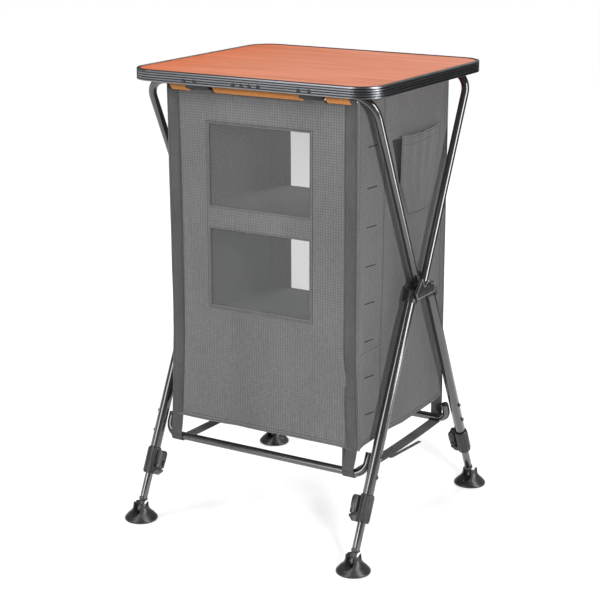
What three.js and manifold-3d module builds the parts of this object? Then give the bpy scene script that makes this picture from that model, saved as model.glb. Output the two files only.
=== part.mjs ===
// A folding camping cabinet: a framed tabletop on two crossed tube frames that fold like scissors,
// with a fabric bag of three compartments hung between them and four legs that telescope.
// Millimetres, +Z up. Origin on the ground under the middle; -Y is the front with the windows.
import * as THREE from 'three';
import * as BufferGeometryUtils from 'three/addons/utils/BufferGeometryUtils.js';
import Module from 'manifold-3d';

const wasm = await Module();
wasm.setup();

// Driving dimensions of the whole cabinet
const cabinetWidth = 550;
const cabinetDepth = 495;
const cabinetHeight = 940;
const frameInset = 21;
const topBarInset = 43.5;
const topBarDrop = 23;
const hubHeightShare = 0.5532;
const framePlaneX = cabinetWidth / 2 - frameInset;
const topBarY = cabinetDepth / 2 - topBarInset;
const hubHeight = cabinetHeight * hubHeightShare;

// Tubes
const smallTube = { radius: 8, wall: 1.2 };
const legTube = { radius: 11, wall: 1.4 };
const innerTube = { radius: 8, wall: 1.2 };
const upperAxisOffset = 13.9;
const lowerAxisOffset = 26.2;
const frameBend = 45;

// Clearances
const faceGap = 0.3;
const turningGap = 0.3;
const slidingGap = 0.3;
const overrun = 5;

// Facets
const tubeFacets = 12;
const bendSteps = 5;

// The slope of the crossed members follows from where the top bars and the hub are
const topBarZ = cabinetHeight - topBarDrop;
const topBarRise = topBarZ - hubHeight;
const topBarReach = Math.hypot(topBarY, topBarRise);
const memberSlope = Math.atan2(topBarY, topBarRise) - Math.asin(upperAxisOffset / topBarReach);
const sinSlope = Math.sin(memberSlope);
const cosSlope = Math.cos(memberSlope);
const topBarUp = Math.sqrt(topBarReach ** 2 - upperAxisOffset ** 2);

const materials = {
  wood: new THREE.MeshStandardMaterial({ color: 0xd98a6a, roughness: 0.45, metalness: 0 }),
  rail: new THREE.MeshStandardMaterial({ color: 0x5c5d60, roughness: 0.38, metalness: 0.8 }),
  steel: new THREE.MeshStandardMaterial({ color: 0x9a9da1, roughness: 0.35, metalness: 0.9 }),
  tube: new THREE.MeshStandardMaterial({ color: 0x4a4c50, roughness: 0.3, metalness: 0.8 }),
  plastic: new THREE.MeshStandardMaterial({ color: 0x1c1d1f, roughness: 0.55, metalness: 0 }),
  canvas: new THREE.MeshStandardMaterial({ color: 0x6b6b6c, roughness: 0.95, metalness: 0 }),
  hem: new THREE.MeshStandardMaterial({ color: 0xc98a5c, roughness: 0.9, metalness: 0 }),
  webbing: new THREE.MeshStandardMaterial({ color: 0x3d3d3f, roughness: 0.9, metalness: 0 }),
  film: new THREE.MeshStandardMaterial({ color: 0xb9c0c4, roughness: 0.15, metalness: 0 }),
};

const cabinet = new THREE.Group();

function addPiece(parent, name, geometry, material) {
  const mesh = new THREE.Mesh(geometry, material);
  mesh.name = name;
  parent.add(mesh);
  return mesh;
}

// Closed geometry to a solid for joining and cutting, and back
function solid(geometry) {
  const bare = geometry.clone();
  bare.deleteAttribute('normal');
  bare.deleteAttribute('uv');
  const merged = BufferGeometryUtils.mergeVertices(bare);
  return new wasm.Manifold(new wasm.Mesh({
    numProp: 3,
    vertProperties: new Float32Array(merged.attributes.position.array),
    triVerts: new Uint32Array(merged.index.array),
  }));
}

function geometryOf(body) {
  const mesh = body.getMesh();
  const geometry = new THREE.BufferGeometry();
  geometry.setAttribute('position', new THREE.BufferAttribute(new Float32Array(mesh.vertProperties), 3));
  geometry.setIndex(new THREE.BufferAttribute(new Uint32Array(mesh.triVerts), 1));
  geometry.computeVertexNormals();
  return geometry;
}

function joined(...geometries) {
  return geometryOf(geometries.map(solid).reduce((whole, part) => whole.add(part)));
}

function cut(geometry, ...tools) {
  return geometryOf(tools.map(solid).reduce((whole, tool) => whole.subtract(tool), solid(geometry)));
}

function box(x0, x1, y0, y1, z0, z1) {
  const geometry = new THREE.BoxGeometry(x1 - x0, y1 - y0, z1 - z0);
  return geometry.translate((x0 + x1) / 2, (y0 + y1) / 2, (z0 + z1) / 2);
}

// A flat outline in the Y-Z plane given depth along X, from x0 to x1
function extrudedAlongX(shape, x0, x1, curveSegments = bendSteps) {
  const geometry = new THREE.ExtrudeGeometry(shape, { depth: x1 - x0, bevelEnabled: false, curveSegments });
  const yzx = new THREE.Matrix4().makeBasis(
    new THREE.Vector3(0, 1, 0), new THREE.Vector3(0, 0, 1), new THREE.Vector3(1, 0, 0));
  return geometry.applyMatrix4(yzx).translate(x0, 0, 0);
}

// A flat outline in the X-Z plane given depth along Y, from y0 to y1
function extrudedAlongY(shape, y0, y1, curveSegments = bendSteps) {
  const geometry = new THREE.ExtrudeGeometry(shape, { depth: y1 - y0, bevelEnabled: false, curveSegments });
  return geometry.rotateX(Math.PI / 2).translate(0, y1, 0);
}

function rodAlongX(radius, x0, x1, y, z, facets = tubeFacets) {
  const geometry = new THREE.CylinderGeometry(radius, radius, x1 - x0, facets);
  return geometry.rotateZ(-Math.PI / 2).translate((x0 + x1) / 2, y, z);
}

function rodAlongY(radius, y0, y1, x, z, facets = tubeFacets) {
  return new THREE.CylinderGeometry(radius, radius, y1 - y0, facets).translate(x, (y0 + y1) / 2, z);
}

function rodAlongZ(radius, z0, z1, x, y, facets = tubeFacets) {
  const geometry = new THREE.CylinderGeometry(radius, radius, z1 - z0, facets);
  return geometry.rotateX(Math.PI / 2).translate(x, y, (z0 + z1) / 2);
}

function roundedRectangle(width, depth, radius) {
  const x = width / 2;
  const y = depth / 2;
  const shape = new THREE.Shape();
  shape.moveTo(-x + radius, -y);
  shape.lineTo(x - radius, -y);
  shape.absarc(x - radius, -y + radius, radius, -Math.PI / 2, 0);
  shape.lineTo(x, y - radius);
  shape.absarc(x - radius, y - radius, radius, 0, Math.PI / 2);
  shape.lineTo(-x + radius, y);
  shape.absarc(-x + radius, y - radius, radius, Math.PI / 2, Math.PI);
  shape.lineTo(-x, -y + radius);
  shape.absarc(-x + radius, -y + radius, radius, Math.PI, 1.5 * Math.PI);
  return shape;
}

// A path of straight runs and round bends, stepped only in its bends. It visits flat corner
// points [a, b] that place() sets in space, each corner rounded to its own radius.
class BentPath extends THREE.Curve {
  constructor(corners, place) {
    super();
    const flat = corners.map(([a, b]) => new THREE.Vector2(a, b));
    this.stations = [];
    const addStation = (point, heading) => {
      const start = place(point.x, point.y);
      const ahead = place(point.x + heading.x, point.y + heading.y);
      this.stations.push({ point: start, tangent: ahead.sub(start).normalize() });
    };
    flat.forEach((corner, i) => {
      const radius = corners[i][2];
      if (radius === undefined) {
        const from = i === 0 ? corner : flat[i - 1];
        const to = i === 0 ? flat[1] : corner;
        addStation(corner, to.clone().sub(from).normalize());
        return;
      }
      const inward = corner.clone().sub(flat[i - 1]).normalize();
      const outward = flat[i + 1].clone().sub(corner).normalize();
      const turn = Math.atan2(inward.cross(outward), inward.dot(outward));
      const setback = radius * Math.tan(Math.abs(turn) / 2);
      const side = new THREE.Vector2(-inward.y, inward.x).multiplyScalar(Math.sign(turn));
      const begin = corner.clone().addScaledVector(inward, -setback);
      const centre = begin.clone().addScaledVector(side, radius);
      for (let step = 0; step <= bendSteps; step += 1) {
        const angle = turn * step / bendSteps;
        const arm = side.clone().multiplyScalar(-radius).rotateAround(new THREE.Vector2(), angle);
        addStation(centre.clone().add(arm), inward.clone().rotateAround(new THREE.Vector2(), angle));
      }
    });
    this.steps = this.stations.length - 1;
  }

  getPoint(share) {
    return this.stations[Math.round(share * this.steps)].point.clone();
  }

  getPointAt(share) {
    return this.getPoint(share);
  }

  getTangentAt(share, target = new THREE.Vector3()) {
    return target.copy(this.stations[Math.round(share * this.steps)].tangent);
  }
}

function sweep(shape, path, curveSegments = tubeFacets / 2) {
  return new THREE.ExtrudeGeometry(shape, { steps: path.steps, extrudePath: path, curveSegments });
}

function circle(radius, holeRadius = 0) {
  const shape = new THREE.Shape();
  shape.absarc(0, 0, radius, 0, 2 * Math.PI);
  if (holeRadius > 0) {
    const hole = new THREE.Path();
    hole.absarc(0, 0, holeRadius, 0, 2 * Math.PI);
    shape.holes.push(hole);
  }
  return shape;
}

function bentTube(tube, corners, place) {
  return sweep(circle(tube.radius, tube.radius - tube.wall), new BentPath(corners, place));
}

function straightTube(tube, x, y, z0, z1) {
  const geometry = new THREE.ExtrudeGeometry(circle(tube.radius, tube.radius - tube.wall),
    { depth: z1 - z0, bevelEnabled: false, curveSegments: tubeFacets / 2 });
  return geometry.translate(x, y, z0);
}

// Tabletop: a board in a bent aluminium edge rail whose ends meet at the front
const boardThickness = 8;
const boardInset = 4;
const cornerRadius = 54;
const rail = {
  height: 22.5, wall: 1.6, lip: 7, lipThickness: 1, shelf: 11, shelfThickness: 1.4,
  returnLip: 5, grooves: 4, grooveShare: 0.125, grooveDepth: 0.7, jointX: 3, jointGap: 0.6,
};
const railTop = cabinetHeight;
const boardTop = railTop - rail.lipThickness - faceGap;
const boardBottom = boardTop - boardThickness;
const shelfTop = boardBottom - faceGap;
const shelfBottom = shelfTop - rail.shelfThickness;
const railBottom = railTop - rail.height;
const railFrontY = -cabinetDepth / 2;

function makeBoard() {
  const shape = roundedRectangle(cabinetWidth - 2 * boardInset, cabinetDepth - 2 * boardInset,
    cornerRadius - boardInset);
  const geometry = new THREE.ExtrudeGeometry(shape,
    { depth: boardThickness, bevelEnabled: false, curveSegments: bendSteps });
  return geometry.translate(0, 0, boardBottom);
}

// The rail's section, in distance down from the top and inward from the outer face
function railSection() {
  const shape = new THREE.Shape();
  const shelfDown = railTop - shelfTop;
  const shelfUnder = railTop - shelfBottom;
  const grooveHalf = rail.height / (rail.grooves + 1) * rail.grooveShare;
  shape.moveTo(0, 0);
  shape.lineTo(0, rail.lip);
  shape.lineTo(rail.lipThickness, rail.lip);
  shape.lineTo(rail.lipThickness, rail.wall);
  shape.lineTo(shelfDown, rail.wall);
  shape.lineTo(shelfDown, rail.shelf);
  shape.lineTo(shelfUnder, rail.shelf);
  shape.lineTo(shelfUnder, rail.wall);
  shape.lineTo(rail.height - rail.wall, rail.wall);
  shape.lineTo(rail.height - rail.wall, rail.returnLip);
  shape.lineTo(rail.height, rail.returnLip);
  shape.lineTo(rail.height, 0);
  for (let i = rail.grooves; i >= 1; i -= 1) {
    const down = rail.height * i / (rail.grooves + 1);
    shape.lineTo(down + grooveHalf, 0);
    shape.lineTo(down, rail.grooveDepth);
    shape.lineTo(down - grooveHalf, 0);
  }
  shape.closePath();
  return shape;
}

function makeRail() {
  const x = cabinetWidth / 2;
  const y = cabinetDepth / 2;
  const path = new BentPath([
    [rail.jointX + rail.jointGap / 2, -y],
    [x, -y, cornerRadius],
    [x, y, cornerRadius],
    [-x, y, cornerRadius],
    [-x, -y, cornerRadius],
    [rail.jointX - rail.jointGap / 2, -y],
  ], (a, b) => new THREE.Vector3(a, b, railTop));
  return sweep(railSection(), path);
}

addPiece(cabinet, 'tabletop_board', makeBoard(), materials.wood);
addPiece(cabinet, 'edge_rail', makeRail(), materials.rail);

// The joiner plate stands in the rail's channel behind the joint, under the shelf
const joiner = { length: 66, thickness: 2.4 };
const channelTop = shelfBottom - faceGap;
const channelBottom = railBottom + rail.wall + faceGap;
const channelY = railFrontY + rail.wall + faceGap;
addPiece(cabinet, 'rail_joiner', box(rail.jointX - joiner.length / 2, rail.jointX + joiner.length / 2,
  channelY, channelY + joiner.thickness, channelBottom, channelTop), materials.steel);

// Clips and hooks under the tabletop: a flange in the rail's channel, an arm, and a jaw on the top bar
const clip = { width: 52, centreShare: 0.504, flange: 2.4, arm: 3, jawWall: 4, mouth: 12, lipDrop: 12 };
const hook = { width: 36, mouth: 22, clearance: 0.8 };
const clipX = framePlaneX * clip.centreShare;

function barGrip(width, mouth, clearance, lipDrop) {
  const outer = smallTube.radius + clearance + clip.jawWall;
  const armTop = shelfBottom - faceGap;
  const jaw = rodAlongX(outer, -width / 2, width / 2, -topBarY, topBarZ, 2 * tubeFacets);
  const lips = (lipDrop ? [-1, 1] : []).map((sign) => {
    const middle = sign * (outer - clip.jawWall / 2) - topBarY;
    return box(-width / 2, width / 2, middle - clip.jawWall / 2, middle + clip.jawWall / 2,
      topBarZ - lipDrop, topBarZ);
  });
  const flange = box(-width / 2, width / 2, channelY, channelY + clip.flange, channelBottom, channelTop);
  const arm = box(-width / 2, width / 2, channelY, -topBarY, armTop - clip.arm, armTop);
  const bore = rodAlongX(smallTube.radius + clearance, -width, width, -topBarY, topBarZ, 2 * tubeFacets);
  const slot = box(-width, width, -topBarY - mouth / 2, -topBarY + mouth / 2,
    topBarZ - outer - overrun, topBarZ);
  const topTrim = box(-width, width, -topBarY - 2 * outer, -topBarY + 2 * outer, boardBottom - faceGap,
    railTop);
  return cut(joined(jaw, flange, arm, ...lips), bore, slot, topTrim);
}

for (const [side, sign] of [['left', -1], ['right', 1]]) {
  addPiece(cabinet, `front_clip_${side}`,
    barGrip(clip.width, clip.mouth, turningGap, clip.lipDrop), materials.plastic)
    .position.set(sign * clipX, 0, 0);
  const backHook = addPiece(cabinet, `back_hook_${side}`,
    barGrip(hook.width, hook.mouth, hook.clearance, 0), materials.plastic);
  backHook.position.set(sign * clipX, 0, 0);
  backHook.rotation.z = Math.PI;
}

// Crossed members. Each is built in its own frame, pivot at the origin, tubes along Z: the upper
// frame at -upperAxisOffset in Y, its lower legs at +lowerAxisOffset.
const hub = {
  plateThickness: 5, sleeveWall: 2.4, sleeveTop: -5, sleeveLength: 46, tubeEnd: -1,
  saddleWall: 2.6, saddleTop: 16, peakInner: 2, peakOuter: 6, peakTop: 27, valley: 5, cheekReach: 27,
  cheekTop: 14, plateBottom: -22,
  pivotBoss: 9, pinRadius: 4, pinHead: 7, pinHeadDepth: 2.5,
};
const leg = { ballHeight: 23, tubeStop: 24, slideRoom: 84.5, overlap: 148 };
const lowerBar = { heightShare: 0.327, legOffset: 7.5, bend: 26, riser: 44 };
const ballZ = -(hubHeight + lowerAxisOffset * sinSlope - leg.ballHeight) / cosSlope;
const outerLegEnd = -ballZ - leg.slideRoom;
const innerLegTop = outerLegEnd - leg.overlap;
const lowerBarHeight = hubHeight * lowerBar.heightShare;
const lowerBarOwnY = lowerAxisOffset - lowerBar.legOffset;
const lowerBarOwnZ = (lowerBarHeight - hubHeight - lowerBarOwnY * sinSlope) / cosSlope;
const lowerBarY = lowerBarOwnY * cosSlope - lowerBarOwnZ * sinSlope;

// All that lies above, or below, a level plane at a world height from the pivot
function levelBlock(worldZ, above) {
  const reach = cabinetHeight;
  const z0 = above ? worldZ : worldZ - reach;
  return box(-reach, reach, -reach, reach, z0, z0 + reach).rotateX(-memberSlope);
}

function upperFrame() {
  const place = (a, b) => new THREE.Vector3(a, -upperAxisOffset, b);
  const foot = -smallTube.radius;
  const tube = bentTube(smallTube, [
    [-framePlaneX, foot - overrun],
    [-framePlaneX, topBarUp, frameBend],
    [framePlaneX, topBarUp, frameBend],
    [framePlaneX, foot - overrun],
  ], place);
  return cut(tube, levelBlock(hub.tubeEnd, false));
}

const sleeveOuter = legTube.radius + faceGap + hub.sleeveWall;

function lowerLeg() {
  const tube = straightTube(legTube, 0, lowerAxisOffset, -outerLegEnd, 0);
  return cut(tube, levelBlock(hub.sleeveTop - hub.sleeveWall - faceGap, true));
}

// A point of a member's own Y-Z plane that lies at a world height from the pivot
function atLevel(y, worldZ) {
  return [y, (worldZ - y * sinSlope) / cosSlope];
}

function mirroredX(geometry) {
  const mirrored = geometry.clone().scale(-1, 1, 1);
  if (!mirrored.index) {
    mirrored.setIndex([...mirrored.attributes.position.array.keys()].slice(0, mirrored.attributes.position.count));
  }
  const index = mirrored.index.array;
  for (let i = 0; i < index.length; i += 3) {
    [index[i], index[i + 1]] = [index[i + 1], index[i]];
  }
  return mirrored;
}

// A hub half: a plate whose peaked cheek carries a saddle on the upper tube, a boss for the pivot
// pin, and an arm to the sleeve that holds the leg. The plate stands on the +X side of the tubes.
const plateX = sleeveOuter + turningGap;

function hubHalf() {
  const saddleReach = smallTube.radius + faceGap + hub.saddleWall;
  const cheekY = -upperAxisOffset - saddleReach - hub.cheekReach;
  const plateEnd = plateX + hub.plateThickness;
  const shape = new THREE.Shape();
  shape.moveTo(...atLevel(lowerAxisOffset, hub.plateBottom));
  shape.lineTo(...atLevel(lowerAxisOffset, hub.sleeveTop));
  shape.absarc(0, 0, hub.pivotBoss, -memberSlope, Math.PI / 2 + memberSlope);
  shape.lineTo(-upperAxisOffset - hub.peakInner, hub.valley);
  shape.lineTo(-upperAxisOffset - hub.peakInner, hub.peakTop);
  shape.lineTo(-upperAxisOffset - hub.peakOuter, hub.peakTop);
  shape.lineTo(cheekY, hub.cheekTop);
  shape.lineTo(...atLevel(cheekY, hub.plateBottom));
  shape.closePath();
  const plate = extrudedAlongX(shape, plateX, plateEnd);
  const saddleEnd = plateX + hub.saddleWall;
  const saddle = solid(box(turningGap, saddleEnd, -upperAxisOffset - saddleReach, -upperAxisOffset + saddleReach,
    -hub.saddleTop, hub.saddleTop)).subtract(solid(levelBlock(hub.tubeEnd, false)));
  const sleeve = rodAlongZ(sleeveOuter, -hub.sleeveLength, 0, 0, lowerAxisOffset);
  const bridge = box(0, plateEnd, lowerAxisOffset - sleeveOuter / 2, lowerAxisOffset, -hub.sleeveLength, 0);
  const lower = solid(joined(sleeve, bridge)).subtract(solid(levelBlock(hub.sleeveTop, true)));
  const legBore = solid(rodAlongZ(legTube.radius + faceGap, -hub.sleeveLength - overrun, 0, 0, lowerAxisOffset))
    .subtract(solid(levelBlock(hub.sleeveTop - hub.sleeveWall, true)));
  const tubeBore = solid(rodAlongZ(smallTube.radius + faceGap, -hub.saddleTop, hub.saddleTop + overrun,
    0, -upperAxisOffset));
  const pinBore = solid(rodAlongX(hub.pinRadius + turningGap, 0, plateEnd + overrun, 0, 0));
  const body = solid(plate).add(saddle).add(lower);
  return geometryOf(body.subtract(legBore).subtract(tubeBore).subtract(pinBore));
}

function hubPin() {
  const reach = plateX + hub.plateThickness + turningGap;
  const head = reach + hub.pinHeadDepth;
  return joined(
    rodAlongX(hub.pinRadius, -reach - turningGap, reach + turningGap, 0, 0),
    rodAlongX(hub.pinHead, reach, head, 0, 0),
    rodAlongX(hub.pinHead, -head, -reach, 0, 0),
  );
}

// Lower bar: a tube between the legs whose ends turn up along the legs' inner sides
function lowerBarTube() {
  const riserX = framePlaneX - legTube.radius - smallTube.radius - faceGap;
  return bentTube(smallTube, [
    [-riserX, lowerBarOwnZ + lowerBar.riser],
    [-riserX, lowerBarOwnZ, lowerBar.bend],
    [riserX, lowerBarOwnZ, lowerBar.bend],
    [riserX, lowerBarOwnZ + lowerBar.riser],
  ], (a, b) => new THREE.Vector3(a, lowerBarOwnY, b));
}

// Leg clamp: a collar on the end of the outer leg with an ear that a lever turns on. The ear
// points to -X; below the lever it fills out to a chamfered block.
const clamp = {
  radius: 14, grip: 46, stop: 10, earReach: 27.5, earHalf: 3.5, blockHalf: 9, blockRise: 2,
  chamfer: 9, pinX: 20.5, pinRise: 10, pinRadius: 2.5, pinHead: 4.2, pinHeadDepth: 1.8,
};
const lever = { rise: 42, nose: 6, web: 3 };
const clampTop = outerLegEnd - clamp.grip;
const clampBottom = outerLegEnd + clamp.stop;
const blockTop = outerLegEnd - clamp.blockRise;
const clampPinZ = outerLegEnd - clamp.pinRise;
const leverTop = outerLegEnd - lever.rise;
const collarGap = clamp.radius + 2 * slidingGap;

function legClamp() {
  const collar = rodAlongZ(clamp.radius, -clampBottom, -clampTop, 0, 0, 2 * tubeFacets - 6);
  const earShape = new THREE.Shape();
  earShape.moveTo(0, -blockTop);
  earShape.lineTo(-clamp.pinX, -blockTop);
  earShape.absarc(-clamp.pinX, -clampPinZ, lever.nose, -Math.PI / 2, -1.5 * Math.PI, true);
  earShape.lineTo(0, -clampPinZ + lever.nose);
  earShape.closePath();
  const ear = extrudedAlongY(earShape, -clamp.earHalf, clamp.earHalf);
  const blockShape = new THREE.Shape();
  blockShape.moveTo(0, -blockTop);
  blockShape.lineTo(-clamp.earReach, -blockTop);
  blockShape.lineTo(-clamp.earReach + clamp.chamfer, -clampBottom);
  blockShape.lineTo(0, -clampBottom);
  blockShape.closePath();
  const block = extrudedAlongY(blockShape, -clamp.blockHalf, clamp.blockHalf);
  const pinEnd = clamp.blockHalf + turningGap;
  const pin = rodAlongY(clamp.pinRadius, -pinEnd - turningGap, pinEnd + turningGap, -clamp.pinX, -clampPinZ);
  const heads = [-1, 1].map((sign) => {
    const middle = sign * (pinEnd + clamp.pinHeadDepth / 2);
    return rodAlongY(clamp.pinHead, middle - clamp.pinHeadDepth / 2, middle + clamp.pinHeadDepth / 2,
      -clamp.pinX, -clampPinZ);
  });
  const outerBore = rodAlongZ(legTube.radius + faceGap, -outerLegEnd - faceGap, 0, 0, 0, 2 * tubeFacets - 6);
  const innerBore = rodAlongZ(innerTube.radius + slidingGap, -clampBottom - overrun, 0, 0, 0);
  return cut(joined(collar, ear, block, pin, ...heads), outerBore, innerBore);
}

// The lever: a channel whose two cheeks straddle the ear, with a round nose and a rounded top
function clampLever() {
  const shape = new THREE.Shape();
  const near = -collarGap;
  const far = -clamp.earReach;
  const round = lever.nose;
  shape.moveTo(near, -clampPinZ);
  shape.lineTo(near, -leverTop);
  shape.lineTo(far + round, -leverTop);
  shape.absarc(far + round, -leverTop - round, round, Math.PI / 2, Math.PI);
  shape.lineTo(far, -clampPinZ + turningGap);
  shape.lineTo(-clamp.pinX - lever.nose, -clampPinZ);
  shape.absarc(-clamp.pinX, -clampPinZ, lever.nose - turningGap, Math.PI, 2 * Math.PI);
  shape.closePath();
  const body = extrudedAlongY(shape, -clamp.blockHalf, clamp.blockHalf);
  const slot = box(far + lever.web, 0, -clamp.earHalf - turningGap, clamp.earHalf + turningGap,
    -clampBottom, -leverTop - lever.web);
  const sweep = box(-clamp.earReach - overrun, 0, -clamp.earHalf - turningGap, clamp.earHalf + turningGap,
    -clampBottom, -clampPinZ + lever.nose + lever.web);
  const hole = rodAlongY(clamp.pinRadius + turningGap, -clamp.earReach, clamp.earReach, -clamp.pinX, -clampPinZ);
  return cut(body, slot, sweep, hole);
}

// Inner leg, and the ball plug in its end
const ball = { radius: 9.5, neck: 4.6, flange: 8.6, flangeDepth: 2.5, spigot: 12 };

function ballPlug() {
  const points = [];
  const neckAngle = Math.asin(ball.neck / ball.radius);
  const rounds = bendSteps + 2;
  for (let i = 0; i <= rounds; i += 1) {
    const angle = -Math.PI / 2 + (Math.PI - neckAngle) * i / rounds;
    points.push(new THREE.Vector2(i === 0 ? 0 : ball.radius * Math.cos(angle), ball.radius * Math.sin(angle)));
  }
  const flangeTop = leg.tubeStop - faceGap;
  const spigotRadius = innerTube.radius - innerTube.wall - faceGap;
  points.push(new THREE.Vector2(ball.neck, flangeTop - ball.flangeDepth));
  points.push(new THREE.Vector2(ball.flange, flangeTop - ball.flangeDepth));
  points.push(new THREE.Vector2(ball.flange, flangeTop));
  points.push(new THREE.Vector2(spigotRadius, flangeTop));
  points.push(new THREE.Vector2(spigotRadius, flangeTop + ball.spigot));
  points.push(new THREE.Vector2(0, flangeTop + ball.spigot));
  return new THREE.LatheGeometry(points, tubeFacets).rotateX(Math.PI / 2);
}

// Foot: a bell with a ball socket in its collar, open in front and behind for the leg to lean, and
// nicked at both sides. Z = 0 is the ground.
const foot = {
  radius: 34.5, rim: 7, edge: 3.5, shoulderRadius: 25, shoulderHeight: 14.5, waistRadius: 18,
  waistHeight: 22, collarRadius: 15.6, collarHeight: 36, mouthRadius: 12.8, slotWidth: 17, slotBottom: 12,
  nickWidth: 5, nickDepth: 7,
};

function makeFoot() {
  const socket = ball.radius + turningGap;
  const mouthAngle = Math.PI / 5;
  const points = [
    [0, 0],
    [foot.radius - foot.edge, 0],
    [foot.radius, foot.edge],
    [foot.radius, foot.rim],
    [foot.radius - foot.edge, foot.rim + foot.edge],
    [foot.shoulderRadius, foot.shoulderHeight],
    [foot.waistRadius, foot.waistHeight],
    [foot.collarRadius, foot.collarHeight - foot.edge],
    [foot.collarRadius, foot.collarHeight],
    [foot.mouthRadius, foot.collarHeight],
  ].map(([radius, height]) => new THREE.Vector2(radius, height));
  for (let i = 0; i <= bendSteps; i += 1) {
    const angle = mouthAngle - (Math.PI / 2 + mouthAngle) * i / bendSteps;
    const radius = i === bendSteps ? 0 : socket * Math.cos(angle);
    points.push(new THREE.Vector2(radius, leg.ballHeight + socket * Math.sin(angle)));
  }
  const bell = new THREE.LatheGeometry(points, 2 * tubeFacets - 2).rotateX(Math.PI / 2);
  const half = foot.slotWidth / 2;
  const reach = foot.radius;
  const slotMiddle = foot.slotBottom + half;
  const top = foot.collarHeight + overrun;
  return cut(bell,
    box(-half, half, -reach, reach, slotMiddle, top),
    rodAlongY(half, -reach, reach, 0, slotMiddle),
    box(-reach, reach, -foot.nickWidth / 2, foot.nickWidth / 2, foot.collarHeight - foot.nickDepth, top));
}

// A member carries the upper frame of one end and the legs of the other. A member turned half round
// has its left and right exchanged.
function addMember({ upperEnd, lowerEnd, half, turned }) {
  const group = new THREE.Group();
  group.position.z = hubHeight;
  group.rotation.set(memberSlope, 0, turned ? Math.PI : 0, 'ZYX');
  cabinet.add(group);
  addPiece(group, `upper_frame_${upperEnd}`, upperFrame(), materials.tube);
  addPiece(group, `lower_bar_${lowerEnd}`, lowerBarTube(), materials.tube);
  for (const [side, sign] of [['left', -1], ['right', 1]]) {
    const x = (turned ? -sign : sign) * framePlaneX;
    const inward = x > 0 ? (geometry) => geometry : mirroredX;
    const plateOutward = (half === 'outer') === (x > 0) ? (geometry) => geometry : mirroredX;
    const corner = `${lowerEnd}_${side}`;
    addPiece(group, `hub_${half}_${side}`, plateOutward(hubHalf()), materials.plastic).position.x = x;
    addPiece(group, `lower_leg_${corner}`, lowerLeg(), materials.tube).position.x = x;
    addPiece(group, `leg_clamp_${corner}`, inward(legClamp()), materials.plastic)
      .position.set(x, lowerAxisOffset, 0);
    addPiece(group, `clamp_lever_${corner}`, inward(clampLever()), materials.plastic)
      .position.set(x, lowerAxisOffset, 0);
    addPiece(group, `inner_leg_${corner}`,
      straightTube(innerTube, 0, 0, ballZ + leg.tubeStop, -innerLegTop), materials.steel)
      .position.set(x, lowerAxisOffset, 0);
    addPiece(group, `leg_ball_${corner}`, ballPlug(), materials.plastic)
      .position.set(x, lowerAxisOffset, ballZ);
    const ankle = new THREE.Group();
    ankle.position.set(x, lowerAxisOffset, ballZ);
    ankle.rotation.x = -memberSlope;
    group.add(ankle);
    addPiece(ankle, `foot_${corner}`, makeFoot(), materials.plastic).position.z = -leg.ballHeight;
    if (half === 'outer') {
      addPiece(group, `hub_pin_${side}`, hubPin(), materials.steel).position.x = x;
    }
  }
}

addMember({ upperEnd: 'front', lowerEnd: 'back', half: 'outer', turned: false });
addMember({ upperEnd: 'back', lowerEnd: 'front', half: 'inner', turned: true });

// The bag: front with two windows, sides, bottom, two shelves, corner strips beside the open back,
// the rolled-up door, a side pocket, and the straps that tie it to the lower bars
const bag = {
  cloth: 2.4, sideInset: 39, frontInset: 2, backInset: 19, topGap: 13, floorRise: 54, sideRise: 1,
  backStrip: 46, boardCloth: 5, upperShelfShare: 0.616, lowerShelfShare: 0.275,
};
const bagHalfWidth = framePlaneX - bag.sideInset;
const bagFrontY = topBarY - bag.frontInset;
const bagBackY = topBarY - bag.backInset;
const bagTop = topBarZ - bag.topGap;
const bagBottom = lowerBarHeight + bag.floorRise;
const upperShelf = bagBottom + (bagTop - bagBottom) * bag.upperShelfShare;
const lowerShelf = bagBottom + (bagTop - bagBottom) * bag.lowerShelfShare;
const windowSize = {
  sideMargin: 103, topMargin: 65, overUpperShelf: 32, underUpperShelf: 13, overLowerShelf: 61,
  filmThickness: 1, filmMargin: 5,
};
const windowHalfWidth = bagHalfWidth - windowSize.sideMargin;
const windowTop = bagTop - windowSize.topMargin;
const windowBottom = lowerShelf + windowSize.overLowerShelf;
const strap = { width: 25, thickness: 2, inset: 14 };
const strapX = bagHalfWidth - strap.inset;
const frontInnerY = -bagFrontY + bag.cloth;
const sideInnerX = bagHalfWidth - bag.cloth;

function frontPanel() {
  const w = windowSize;
  const panel = box(-bagHalfWidth, bagHalfWidth, -bagFrontY, frontInnerY, bagBottom, bagTop);
  const straps = [-1, 1].map((sign) => box(sign * strapX - strap.width / 2, sign * strapX + strap.width / 2,
    -bagFrontY - strap.thickness, -bagFrontY + bag.cloth / 2, bagBottom, bagTop));
  const heights = [
    [upperShelf + w.overUpperShelf, windowTop],
    [windowBottom, upperShelf - w.underUpperShelf],
  ];
  const through = heights.map(([z0, z1]) => box(-windowHalfWidth, windowHalfWidth,
    -bagFrontY - overrun, frontInnerY + overrun, z0, z1));
  return cut(joined(panel, ...straps), ...through);
}

addPiece(cabinet, 'bag_front', frontPanel(), materials.canvas);
addPiece(cabinet, 'window_film', box(
  -windowHalfWidth - windowSize.filmMargin, windowHalfWidth + windowSize.filmMargin,
  frontInnerY + faceGap, frontInnerY + faceGap + windowSize.filmThickness,
  windowBottom - windowSize.filmMargin, windowTop + windowSize.filmMargin), materials.film);

const insideFrontY = frontInnerY + 2 * faceGap + windowSize.filmThickness;
const stripFrontY = bagBackY - bag.cloth;
const panelBackY = stripFrontY - faceGap;

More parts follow.
